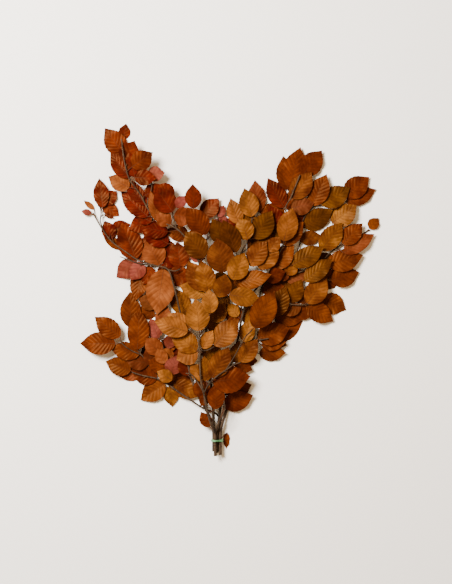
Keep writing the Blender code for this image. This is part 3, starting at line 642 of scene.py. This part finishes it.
# %% [markdown]
# ## Preserved beech leaf
#
# A preserved leaf has taken up glycerine, so it is supple and satin rather than dry: light slides
# along the ridges between its side veins. Its colour is uneven. Patches 25 to 40 mm across are
# darker or redder, the veins are a shade apart from the blade, and the margin is darker. The back
# of a leaf is paler and less glossy. All the leaves share one recipe with different colours. The
# blades carry three numbers for it: "vein" counts the side veins, "edge" is 0 at the midrib and 1
# at the margin, and "own" is one draw for each leaf. The net of the smallest veins has meshes of
# about half a millimetre, which is too fine to show, so it is drawn three times as coarse.

# %% The recipe for leaves
PATCH_MM, MOTTLE_MM, NET_MM = 32.0, 5.0, 1.6
VEIN_SHARE, RIM_SHARE = 0.45, 0.5
SHEEN = 0.13
METRES_TO_MM = 1000.0


def leaf_finish(name, deep, mid, pale, vein, gloss):
    """Leaf tissue: mottled colour, side veins, darker margin, satin gloss and fine relief."""
    material, tree, place = new_material(name)
    own = add(tree, "Attribute", attribute_name="own").outputs["Fac"]
    edge = add(tree, "Attribute", attribute_name="edge").outputs["Fac"]
    veins = add(tree, "Attribute", attribute_name="vein").outputs["Fac"]
    patches = add(tree, "TexNoise", {"Vector": place, "Scale": METRES_TO_MM / PATCH_MM,
                                     "Detail": 3.0, "Roughness": 0.55})
    shade = add(tree, "MapRange", {"Value": patches, "From Min": 0.34, "From Max": 0.66})
    ramp = add(tree, "ValToRGB", {"Fac": shade})
    ramp.color_ramp.elements[0].color = linear(deep)
    ramp.color_ramp.elements[1].color = linear(pale)
    ramp.color_ramp.elements.new(0.5).color = linear(mid)
    mottle = add(tree, "TexNoise", {"Vector": place, "Scale": METRES_TO_MM / MOTTLE_MM,
                                    "Detail": 4.0, "Roughness": 0.6})
    light = add(tree, "MapRange", {"Value": mottle, "From Min": 0.3, "From Max": 0.7,
                                   "To Min": 0.86, "To Max": 1.14})
    lean = add(tree, "MapRange", {"Value": own, "To Min": 0.84, "To Max": 1.18})
    value = add(tree, "Math", {0: light, 1: lean}, operation="MULTIPLY")
    hue = add(tree, "MapRange", {"Value": own, "To Min": 0.493, "To Max": 0.507})
    toned = add(tree, "HueSaturation", {"Hue": hue, "Value": value, "Color": ramp})
    # A side vein runs where the count is whole: pingpong gives the distance from it
    apart = add(tree, "Math", {0: veins, 1: 0.5}, operation="PINGPONG")
    line = add(tree, "MapRange", {"Value": apart, "From Min": 0.02, "From Max": 0.11,
                                  "To Min": VEIN_SHARE, "To Max": 0.0},
               interpolation_type="SMOOTHSTEP")
    veined = add(tree, "Mix", {0: line, 6: toned, 7: linear(vein)}, data_type="RGBA")
    rim = add(tree, "MapRange", {"Value": edge, "From Min": 0.86, "From Max": 1.0,
                                 "To Min": 0.0, "To Max": RIM_SHARE})
    rimmed = add(tree, "Mix", {0: rim, 6: veined.outputs[2], 7: linear(deep)}, data_type="RGBA")
    net = add(tree, "TexVoronoi", {"Vector": place, "Scale": METRES_TO_MM / NET_MM},
              feature="DISTANCE_TO_EDGE")
    relief = add(tree, "Math", {0: net, 1: line}, operation="SUBTRACT")
    bump = add(tree, "Bump", {"Height": relief, "Strength": 0.35, "Distance": 0.0004})
    rough = add(tree, "MapRange", {"Value": mottle, "From Min": 0.3, "From Max": 0.7,
                                   "To Min": gloss - 0.05, "To Max": gloss + 0.07})
    surface = add(tree, "BsdfPrincipled", {
        "Base Color": rimmed.outputs[2], "Roughness": rough, "Normal": bump, "IOR": 1.45,
        "Specular IOR Level": SHEEN, "Specular Tint": linear("#ffb468")})
    add(tree, "OutputMaterial", {"Surface": surface})
    print(name, "has", len(tree.nodes), "nodes")
    return material


# %% [markdown]
# The table is lit strongly enough to look white, so the leaves' own colours are darker here than a
# colour picker reads from a photograph of them. Red leaves are deepest, and backs the least glossy.

# %% The tones of the leaves
FACE_GLOSS, BACK_GLOSS = 0.38, 0.50
LEAF_COLOURS = {
    "R": ("beech_leaf_deep_red", "#2b0402", "#3d0a02", "#4f1103", "#220302"),
    "O": ("beech_leaf_burnt_orange", "#350f02", "#451902", "#572403", "#290a02"),
    "G": ("beech_leaf_golden", "#3a1705", "#4e2709", "#673a12", "#2d1204"),
    "T": ("beech_leaf_tan", "#4b280d", "#643812", "#7e4b1c", "#351904"),
    "B": ("beech_leaf_olive_brown", "#2d1302", "#3b1b02", "#472505", "#200c02"),
    "S": ("beech_leaf_back_salmon", "#451a08", "#57270e", "#6b371a", "#371305"),
    "P": ("beech_leaf_back_dusty_pink", "#481710", "#58231b", "#6b3129", "#39110c"),
    "M": ("beech_leaf_back_mauve", "#391605", "#451e0c", "#562a14", "#2c0f03"),
}
BACKS = "SPM"
TONES = "".join(LEAF_COLOURS)
LEAF_FINISHES = [leaf_finish(*LEAF_COLOURS[tone], BACK_GLOSS if tone in BACKS else FACE_GLOSS)
                 for tone in TONES]

# %% [markdown]
# ## Bark, stalks and cut wood
#
# Young beech bark is thin, smooth and dark grey-brown, with pale lenticels: pores 1 to 2 mm long
# that lie across the twig. The leaf stalks and midribs are smoother and redder. Where a stem was
# cut, its pale wood shows. Lenticels come from a noise that is stretched round the stem, and the
# long streaks from a noise that is stretched along it. The wood carries "along", its millimetres
# from where it starts, and "round", its millimetres round the stem.


# %% The recipe for bark
LENTICEL_MM, STREAK_MM, TONE_MM = 1.5, 0.9, 18
BARK_SHEEN = 0.12


def bark_finish(name, deep, pale, pore, pore_share, roughness):
    """Smooth young bark with streaks along it and lenticels across it."""
    material, tree, place = new_material(name)
    along = add(tree, "Attribute", attribute_name="along").outputs["Fac"]
    around = add(tree, "Attribute", attribute_name="round").outputs["Fac"]
    across = add(tree, "CombineXYZ", {"X": along, "Y": around})
    streaks = add(tree, "Mapping", {"Vector": across, "Scale": (0.08, 1 / STREAK_MM, 1)})
    streak = add(tree, "TexNoise", {"Vector": streaks, "Scale": 1.0, "Detail": 4.0})
    pores = add(tree, "Mapping", {"Vector": across,
                                  "Scale": (1 / LENTICEL_MM, 0.45 / LENTICEL_MM, 1)})
    pore_noise = add(tree, "TexNoise", {"Vector": pores, "Scale": 0.7, "Detail": 1.0})
    spots = add(tree, "MapRange", {"Value": pore_noise, "From Min": 0.60, "From Max": 0.68,
                                   "To Min": 0.0, "To Max": pore_share})
    tone = add(tree, "TexNoise", {"Vector": place, "Scale": METRES_TO_MM / TONE_MM,
                                  "Detail": 3.0})
    both = add(tree, "Math", {0: streak, 1: tone}, operation="ADD")
    shade = add(tree, "MapRange", {"Value": both, "From Min": 0.75, "From Max": 1.25})
    ramp = add(tree, "ValToRGB", {"Fac": shade})
    ramp.color_ramp.elements[0].color = linear(deep)
    ramp.color_ramp.elements[1].color = linear(pale)
    spotted = add(tree, "Mix", {0: spots, 6: ramp, 7: linear(pore)}, data_type="RGBA")
    height = add(tree, "Math", {0: streak, 1: spots}, operation="ADD")
    bump = add(tree, "Bump", {"Height": height, "Strength": 0.5, "Distance": 0.0003})
    surface = add(tree, "BsdfPrincipled", {
        "Base Color": spotted.outputs[2], "Roughness": roughness,
        "Specular IOR Level": BARK_SHEEN, "Normal": bump})
    add(tree, "OutputMaterial", {"Surface": surface})
    print(name, "has", len(tree.nodes), "nodes")
    return material


BARK = bark_finish("young_beech_bark", "#1a1009", "#403022", "#684e34", 0.45, 0.75)
STALK = bark_finish("leaf_stalk_and_midrib", "#321206", "#44220a", "#4c2a12", 0.3, 0.6)
BUD = bark_finish("beech_bud_scales", "#301607", "#452a11", "#5e4224", 0.4, 0.55)
CUT_WOOD = bark_finish("freshly_cut_beech_wood", "#453624", "#66502f", "#312316", 0.3, 0.8)

# %% [markdown]
# ## From points to a mesh
#
# Blades and wood are both grids of points, so one small class gathers points, faces, their
# materials and the numbers that the recipes read, and makes one object of a whole branch. Making
# a branch's leaves one object keeps the scene to a few pieces that are easy to move. A tip that
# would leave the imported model's box is drawn in to it.


# %% Gathering a piece
SHARP_DEGREES = 55


class Gather:
    """Points, four-cornered faces, material numbers and named values, gathered into one mesh."""

    def __init__(self, *names):
        self.points, self.faces, self.finishes = [], [], []
        self.values = {name: [] for name in names}
        self.count = 0

    def add(self, points, faces, finishes, **values):
        self.points.append(np.asarray(points, float))
        self.faces.append(np.asarray(faces, int) + self.count)
        self.finishes.append(np.broadcast_to(finishes, len(faces)))
        for name, stored in self.values.items():
            stored.append(np.broadcast_to(values[name], len(points)).astype(np.float32))
        self.count += len(points)

    def make(self, name, materials):
        mesh = bpy.data.meshes.new(name)
        points = np.clip(in_metres(np.concatenate(self.points)), *cad_box)
        mesh.from_pydata(points.tolist(), [], np.concatenate(self.faces).tolist())
        mesh.polygons.foreach_set("material_index", np.concatenate(self.finishes).astype(np.int32))
        for key, stored in self.values.items():
            made = mesh.attributes.new(key, "FLOAT", "POINT")
            made.data.foreach_set("value", np.concatenate(stored))
        for material in materials:
            mesh.materials.append(material)
        mesh.shade_smooth()
        mesh.set_sharp_from_angle(angle=math.radians(SHARP_DEGREES))
        made = bpy.data.objects.new(name, mesh)
        bpy.context.scene.collection.objects.link(made)
        print(name, "has", len(mesh.vertices), "points and", len(mesh.polygons), "faces")
        return made


def grid_faces(rows, columns, ring=False):
    """The faces of a grid of points, or of a tube if each row closes on itself."""
    wide = columns if ring else columns - 1
    i, j = np.meshgrid(np.arange(rows - 1), np.arange(wide), indexing="ij")
    after = (j + 1) % columns
    return np.stack([i * columns + j, (i + 1) * columns + j, (i + 1) * columns + after,
                     i * columns + after], axis=-1).reshape(-1, 4)


print("a grid of 3 by 3 points has", len(grid_faces(3, 3)), "faces")

# %% [markdown]
# ## Round forms along a line
#
# Stems, twigs, stalks, midribs and buds are all tubes that taper. A tube is rings of points square
# to its line, so a function takes the line and a radius at each point. Flat faces close its two
# ends, so that it is a solid form. The band is a tube too, and its line closes on itself.


# %% A tapering tube
TINY = 1e-9


def rings(line, way, radii, sides, across):
    """Rings of points square to the way that the line runs, and the angle of each in its ring."""
    way = way / np.maximum(np.linalg.norm(way, axis=1), TINY)[:, None]
    side = np.cross(way, across)
    side /= np.maximum(np.linalg.norm(side, axis=1), TINY)[:, None]
    up = np.cross(side, way)
    angle = np.linspace(0, 2 * np.pi, sides, endpoint=False)
    ring = side[:, None] * np.cos(angle)[None, :, None] + up[:, None] * np.sin(angle)[None, :, None]
    return (line[:, None] + ring * radii[:, None, None]).reshape(-1, 3), angle


def end_faces(sides, rows):
    """Faces that close both ends of a tube: each cap is a fan of four-cornered faces."""
    caps = []
    for start, flip in ((0, False), ((rows - 1) * sides, True)):
        for k in range(1, sides - 2, 2):
            cap = [start, start + k, start + k + 1, start + k + 2]
            caps.append(cap if flip else cap[::-1])
    return np.array(caps)


def tube(line, radii, sides):
    """Points, faces and the two values of a solid tube along the line, all in millimetres."""
    points, angle = rings(line, np.gradient(line, axis=0), radii, sides, (0, 0, 1))
    faces = np.concatenate([grid_faces(len(line), sides, ring=True), end_faces(sides, len(line))])
    run = np.concatenate([[0], np.cumsum(np.linalg.norm(np.diff(line, axis=0), axis=1))])
    return points, faces, np.repeat(run, sides), (angle[None, :] * radii[:, None]).reshape(-1)


def ring_tube(line, radius, sides):
    """A tube along a closed line that lies nearly square to the stems."""
    way = np.roll(line, -1, axis=0) - np.roll(line, 1, axis=0)
    points, _ = rings(line, way, np.full(len(line), radius), sides, (0, 1, 0))
    return points, grid_faces(len(line) + 1, sides, ring=True) % len(points)


print("a ring of 12 points closes with", len(end_faces(12, 2)), "faces at both ends")

# %% [markdown]
# ## A beech blade
#
# A beech leaf is ovate with a short point. Six to nine side veins leave the midrib on each side at
# about 50 degrees and run straight to the margin, which has a small tooth at the end of each. The
# blade arches between them, like a pleated fan. The grid's rows therefore follow the side veins:
# every fourth row is a vein, and the rows between rise in an arch. The two sheets of the blade
# are 0.3 mm apart, near the real thickness.

# %% The finer form of a blade
ROWS_PER_PLEAT = 4
HALF_COLUMNS = 7
VEIN_SLANT, SLANT_POWER, VEIN_CURVE = 0.26, 0.9, 1.15
VEIN_PITCH = 8.2
FEWEST_PAIRS, MOST_PAIRS = 4, 9
PLEAT_SHARE, PLEAT_START = 0.0125, 0.12
ARCH_POWER, ARCH_MIDDLE = 0.8, 0.55
TOOTH_POWER = 8
TIP_FROM, TIP_SLIMMING = 0.55, 0.36
BASE_SHARE, TIP_SHARE = 0.006, 0.997
RUFFLE_RATE = 14
BLADE_MM = 0.3
BLADE_SEAT = 0.3
FLOOR_MM = 0.05


def give_looks(leaf, looks):
    """The seeded differences that only the eye finds: pleats, teeth, ruffles and a slight bend."""
    leaf.pairs = int(np.clip(round(leaf.length / VEIN_PITCH), FEWEST_PAIRS, MOST_PAIRS))
    leaf.pleat = looks.uniform(0.6, 1.3) * (0.5 if leaf.flat else 1.0) * leaf.length * PLEAT_SHARE
    leaf.tooth = looks.uniform(0.012, 0.03)
    leaf.ruffle = looks.uniform(0.3, 1.1) * (0.0 if leaf.flat else 1.0)
    leaf.phases = looks.uniform(0, 6.3), looks.uniform(0, 6.3)
    leaf.bend = looks.uniform(-0.018, 0.018)
    leaf.own = looks.random()


def fine_half(u, leaf):
    """Half the breadth at the share u of the length, narrower towards the tip than the model's."""
    late = np.clip((u - TIP_FROM) / (1 - TIP_FROM), 0, 1)
    return half_breadth(u, leaf, FULLNESS + TIP_SLIMMING * late * late * (3 - 2 * late))


def smooth_spine(leaf, along):
    """The height of the midrib's line, eased through the model's stations."""
    stations = np.linspace(0, leaf.length, len(leaf.spine))
    slope = np.gradient(leaf.spine, stations)
    span = stations[1]
    k = np.clip((along / span).astype(int), 0, len(stations) - 2)
    t = along / span - k
    t2, t3 = t * t, t * t * t
    return ((2 * t3 - 3 * t2 + 1) * leaf.spine[k] + (t3 - 2 * t2 + t) * span * slope[k]
            + (3 * t2 - 2 * t3) * leaf.spine[k + 1] + (t3 - t2) * span * slope[k + 1])


def blade_sheet(leaf):
    """The middle of the blade as a grid of plan points, with its vein count and edge share."""
    rows = leaf.pairs * ROWS_PER_PLEAT
    s = np.linspace(BASE_SHARE, TIP_SHARE, rows + 1)[:, None]
    v = np.linspace(-1, 1, 2 * HALF_COLUMNS + 1)[None, :]
    count = np.arange(rows + 1)[:, None] / ROWS_PER_PLEAT + np.where(v > 0, 0.5, 0.0)
    slant = VEIN_SLANT * np.sin(np.pi * s) ** SLANT_POWER
    reach = np.abs(v)
    u = s - slant / 2 + slant * reach ** VEIN_CURVE
    teeth = 1 + leaf.tooth * np.cos(2 * np.pi * count) * reach ** TOOTH_POWER
    across = v * fine_half(s + slant / 2, leaf) * teeth
    along = u * leaf.length
    arch = np.abs(np.sin(np.pi * count)) ** ARCH_POWER - ARCH_MIDDLE
    pleats = leaf.pleat * arch * reach / (reach + PLEAT_START) * np.sin(np.pi * s) ** 0.5
    wave = np.cos(2 * np.pi * MARGIN_WAVES * u) * np.sin(np.pi * np.clip(u, 0, 1)) ** 0.5
    phase = np.where(v > 0, leaf.phases[0], leaf.phases[1])
    ruffles = leaf.ruffle * reach ** 3 * np.sin(RUFFLE_RATE * u + phase)
    z = (smooth_spine(leaf, along) + leaf.fold * np.abs(across)
         - leaf.curl * across ** 2 / leaf.breadth + leaf.wave * v * v * wave
         + leaf.roll * across + pleats + ruffles)
    sideways = across + leaf.bend * leaf.length * np.sin(np.pi * u)
    x, y = plan_of(leaf, along, sideways)
    return np.stack([x, y, z + BLADE_SEAT], axis=-1), count, np.broadcast_to(reach, count.shape)


print("a 70 mm leaf has", 2 * round(70 / VEIN_PITCH), "side veins")


# %% A whole leaf: two sheets, the rim between them, the midrib and the stalk
def add_blade(piece, leaf):
    """The upper and lower sheets of a blade and the rim that joins them."""
    sheet, count, reach = blade_sheet(leaf)
    rows, columns = sheet.shape[:2]
    low = sheet.reshape(-1, 3).copy()
    low[:, 2] = np.maximum(low[:, 2], FLOOR_MM)
    high = low + (0, 0, BLADE_MM)
    faces = grid_faces(rows, columns)
    upper = TONES.index(leaf.tone)
    lower = TONES.index("O" if leaf.tone in BACKS else "P" if leaf.tone == "R" else "M")
    rim = np.concatenate([np.arange(columns), np.arange(1, rows) * columns + columns - 1,
                          (rows - 1) * columns + np.arange(columns - 2, -1, -1),
                          np.arange(rows - 2, 0, -1) * columns])
    after = np.roll(rim, -1)
    shift = rows * columns
    walls = np.stack([rim, after, after + shift, rim + shift], axis=-1)
    piece.add(np.concatenate([high, low]),
              np.concatenate([faces, faces[:, ::-1] + shift, walls]),
              np.concatenate([np.full(len(faces), upper), np.full(len(faces) + len(walls), lower)]),
              vein=np.tile(count.reshape(-1), 2), edge=np.tile(reach.reshape(-1), 2), own=leaf.own,
              along=0.0, round=0.0)
    return sheet[:, columns // 2]


STALK_MM, STALK_FOOT, RIB_MM, RIB_TIP_MM = 0.85, 1.25, 0.62, 0.14
STALK_ROWS, STALK_SIDES = 5, 6


def add_stalk(piece, leaf, midrib):
    """The stalk from the wood to the blade, which goes on as the midrib on the blade's back."""
    wood = leaf.wood
    foot = np.array([*wood["route"][leaf.foot], wood["z"][leaf.foot]])
    start = midrib[0] + (0, 0, BLADE_MM / 2)
    t = np.linspace(0, 1, STALK_ROWS + 1)[:-1, None]
    stalk = foot + (start - foot) * t
    stalk[:, 2] = np.maximum(stalk[:, 2], STALK_MM)
    rib = midrib[::3] + (0, 0, BLADE_MM / 2)
    line = np.concatenate([stalk, rib])
    radii = np.concatenate([np.linspace(STALK_MM * STALK_FOOT, STALK_MM, len(stalk)),
                            np.linspace(RIB_MM, RIB_TIP_MM, len(rib))])
    line[:, 2] = np.maximum(line[:, 2], radii + FLOOR_MM)
    points, faces, along, around = tube(line, radii, STALK_SIDES)
    piece.add(points, faces, len(TONES), vein=0.0, edge=0.0, own=leaf.own, along=along,
              round=around)


print("a stalk is", 2 * STALK_MM, "mm thick where it meets the blade")

# %% The leaves of each branch
LOOKS_SEED = 11
looks = random.Random(LOOKS_SEED)
for branch in BRANCHES:
    piece = Gather("vein", "edge", "own", "along", "round")
    for leaf in branch.leaves:
        give_looks(leaf, looks)
        add_stalk(piece, leaf, add_blade(piece, leaf))
    leaves = piece.make(branch.name.replace("branch", "leaves"), [*LEAF_FINISHES, STALK])
    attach(leaves, "root")
    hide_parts(branch.name)

# %% [markdown]
# ## Stems, twigs and buds
#
# A beech twig thickens a little at each leaf, where the leaf's scar and bud sit, and its buds are
# slim and pointed, about 9 mm long at this time of year. The wood is a tube along its laid line,
# with a swelling at each leaf, and a spindle stands for each bud. A cut end is one flat face.

# %% The wood of a branch
STEM_SIDES, TWIG_SIDES, BUD_SIDES = 16, 10, 8
SWELL, SWELL_MM, SWELL_BELOW = 0.22, 3.0, 2.6
UNEVEN, CUT_EDGE, LAST_RING = 0.03, 0.96, 0.6
BUD_LENGTH, BUD_RADIUS, BUD_RINGS = 9.0, 1.05, 9
BUD_AHEAD, BUD_OUT, BUD_UP = 0.86, 0.5, 0.1
BARK_PLACE, BUD_PLACE, CUT_PLACE = 0, 1, 2


def add_wood(piece, wood, feet, sides, looks):
    """A stem or twig, thicker where its leaves stand."""
    line = np.column_stack([wood["route"], wood["z"]])
    near = np.zeros(len(line))
    for foot in feet:
        near = np.maximum(near, np.exp(-((wood["run"] - wood["run"][foot]) / SWELL_MM) ** 2))
    rough = np.array([looks.uniform(-UNEVEN, UNEVEN) for _ in line])
    radii = wood["radius"] * (1 + SWELL * near * (wood["radius"] < SWELL_BELOW) + rough)
    radii[-1] *= LAST_RING
    cut = sides == STEM_SIDES
    if cut:
        radii[0] *= CUT_EDGE
    points, faces, along, around = tube(line, radii, sides)
    finishes = np.full(len(faces), BARK_PLACE)
    if cut:
        walls = (len(line) - 1) * sides
        finishes[walls:(walls + len(faces)) // 2] = CUT_PLACE
    piece.add(points, faces, finishes, along=along, round=around)


def add_bud(piece, wood, at, side):
    """A slim pointed bud that leans out of the twig at a leaf."""
    foot = np.array([*wood["route"][at], wood["z"][at]])
    ahead = min(at + 3, len(wood["route"]) - 1)
    way = np.append(wood["route"][ahead] - wood["route"][max(at - 2, 0)], 0.0)
    way /= max(np.linalg.norm(way), TINY)
    out = np.array([-way[1], way[0], 0.0]) * side
    lean = way * BUD_AHEAD + out * BUD_OUT + (0, 0, BUD_UP)
    t = np.linspace(0, 1, BUD_RINGS)
    # A spindle, thickest below its middle and pointed at its tip
    radii = BUD_RADIUS * np.sin(np.pi * np.clip(t * 0.94 + 0.05, 0, 1)) ** 0.8 * (1.15 - 0.6 * t)
    line = foot + out * wood["radius"][at] * 0.5 + lean * (t * BUD_LENGTH)[:, None]
    line[:, 2] = np.maximum(line[:, 2], radii + 0.1)
    points, faces, along, around = tube(line, radii, BUD_SIDES)
    piece.add(points, faces, BUD_PLACE, along=along, round=around)


for branch in BRANCHES:
    piece = Gather("along", "round")
    for k, wood in enumerate(branch.woods):
        feet = [leaf.foot for leaf in branch.leaves if leaf.wood is wood]
        add_wood(piece, wood, feet, TWIG_SIDES if k else STEM_SIDES, looks)
        for n, foot in enumerate(sorted(set(feet))[::2]):
            add_bud(piece, wood, foot, 1 if n % 2 else -1)
    wood_piece = piece.make(branch.name.replace("branch", "wood"), [BARK, BUD, CUT_WOOD])
    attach(wood_piece, "root")
    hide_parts(branch.name)

# %% [markdown]
# ## The green band
#
# The band is a doubled elastic of soft green rubber, moulded as one ring. Its two strands cross on
# top of the stems. Each strand is a closed ring of round section that goes round the outside of
# the stems. Rubber is matt, with a faint sheen, and pales a little where it is stretched.

# %% The finish of the band
BAND_AT, BAND_RADIUS, BAND_GAP = 28.0, 1.2, 0.35
STRETCH_MM, GRAIN_MM = 7, 0.6


def band_finish():
    """Soft green rubber, a little paler where it is stretched."""
    material, tree, place = new_material("soft_green_rubber")
    tone = add(tree, "TexNoise", {"Vector": place, "Scale": METRES_TO_MM / STRETCH_MM,
                                  "Detail": 3.0})
    ramp = add(tree, "ValToRGB", {"Fac": tone})
    ends = ramp.color_ramp.elements
    ends[0].color, ends[0].position = linear("#2f5c36"), 0.3
    ends[1].color, ends[1].position = linear("#5ca46c"), 0.7
    grain = add(tree, "TexNoise", {"Vector": place, "Scale": METRES_TO_MM / GRAIN_MM})
    bump = add(tree, "Bump", {"Height": grain, "Strength": 0.25, "Distance": 0.0002})
    surface = add(tree, "BsdfPrincipled", {"Base Color": ramp, "Roughness": 0.55, "IOR": 1.52,
                                           "Normal": bump})
    add(tree, "OutputMaterial", {"Surface": surface})
    print("soft green rubber has", len(tree.nodes), "nodes")
    return material


BAND_RUBBER = band_finish()

# %% The band's two strands
STRAND_POINTS, STRAND_SIDES = 120, 12
CROSS_AT, CROSS_WIDTH, CROSS_LIFT = 0.2, 0.35, 1.5
PART_A, PART_B = 2.35, 1.12


def strand(stems, side):
    """A closed line round the stems, which crosses the other strand's and parts from it."""
    line = []
    for k in range(STRAND_POINTS):
        turn = 2 * math.pi * k / STRAND_POINTS
        out = (math.cos(turn), math.sin(turn))
        x, z, radius = max(stems, key=lambda s: s[0] * out[0] + s[1] * out[1] + s[2])
        past = out[0] - CROSS_AT
        lift = CROSS_LIFT * math.exp(-(past / CROSS_WIDTH) ** 2) if side > 0 else 0.0
        off = radius + BAND_GAP + BAND_RADIUS + lift
        line.append((x + off * out[0], BAND_AT + side * past * (PART_A + PART_B * past),
                     z + off * out[1]))
    return np.array(line)


stems = [(b.stem[0][0], *CUT[b.name]) for b in BRANCHES]
piece = Gather()
for side in (1, -1):
    piece.add(*ring_tube(strand(stems, side), BAND_RADIUS, STRAND_SIDES), 0)
band = piece.make("green_band", [BAND_RUBBER])
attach(band, "root")
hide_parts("band")

# %% [markdown]
# ## Floor, light and camera
#
# The bunch was seen from straight above on a white table, in soft light from the upper left. The
# shadows are warm, because the light that reaches them has come off the walls. So the surroundings
# give a dim warm light, and one large area lamp gives the cooler main light. The paper's tooth is
# finer than a pixel, so it is drawn as coarse as it needs to be to break up the even white.


# %% The floor
TOOTH_MM, FLOOR_HALF, FLOOR_DROP = 3, 30.0, 0.0002


def paper_finish():
    """White table paper with a faint tooth."""
    material, tree, place = new_material("white_table_paper")
    grain = add(tree, "TexNoise", {"Vector": place, "Scale": METRES_TO_MM / TOOTH_MM})
    tone = add(tree, "MapRange", {"Value": grain, "To Min": 0.93, "To Max": 0.97})
    shade = add(tree, "CombineColor", {0: tone, 1: tone, 2: tone})
    surface = add(tree, "BsdfPrincipled", {"Base Color": shade, "Roughness": 0.9})
    add(tree, "OutputMaterial", {"Surface": surface})
    return material


floor_mesh = bpy.data.meshes.new("floor")
signs = [(-1, -1), (1, -1), (1, 1), (-1, 1)]
floor_mesh.from_pydata([(FLOOR_HALF * x, FLOOR_HALF * y, -FLOOR_DROP) for x, y in signs], [],
                       [(0, 1, 2, 3)])
floor_mesh.materials.append(paper_finish())
floor = bpy.data.objects.new("floor", floor_mesh)
bpy.context.scene.collection.objects.link(floor)
print("the floor is", 2 * FLOOR_HALF, "m across")

# %% The surroundings and the main light
SKY_LIGHT, LAMP_SIZE, LAMP_WATTS = 0.72, 1.0, 320.0
WINDOW_AT = (-1.3, 1.1, 2.3)
world = bpy.context.scene.world or bpy.data.worlds.new("surroundings")
bpy.context.scene.world = world
world.use_nodes = True
world.node_tree.nodes.clear()
sky = add(world.node_tree, "Background", {"Color": linear("#ffd8a4"), "Strength": SKY_LIGHT})
add(world.node_tree, "OutputWorld", {"Surface": sky})

lamp = bpy.data.lights.new("window", "AREA")
lamp.shape, lamp.size, lamp.energy = "SQUARE", LAMP_SIZE, LAMP_WATTS
lamp.color = linear("#fffaf2")[:3]
window = bpy.data.objects.new("window", lamp)
window.location = WINDOW_AT
window.rotation_mode = "QUATERNION"
window.rotation_quaternion = (-window.location).to_track_quat("-Z", "Y")
bpy.context.scene.collection.objects.link(window)
print("the window is", round(window.location.length, 2), "m from the bunch")

# %% The camera
PHOTO_MM, LENS_MM, SENSOR_MM = 2.3, 85.0, 36.0
PICTURE = (452, 584)
VIEW_CENTRE = (20.7, 368.0)
camera_data = bpy.data.cameras.new("camera")
camera_data.lens, camera_data.sensor_width = LENS_MM, SENSOR_MM
camera = bpy.data.objects.new("camera", camera_data)
distance = PICTURE[1] * PHOTO_MM * MM * LENS_MM / SENSOR_MM
camera.location = (*in_metres([(*VIEW_CENTRE, 0)])[0][:2], distance)
bpy.context.scene.collection.objects.link(camera)
bpy.context.scene.camera = camera
print("the camera is", round(distance, 2), "m above the table")
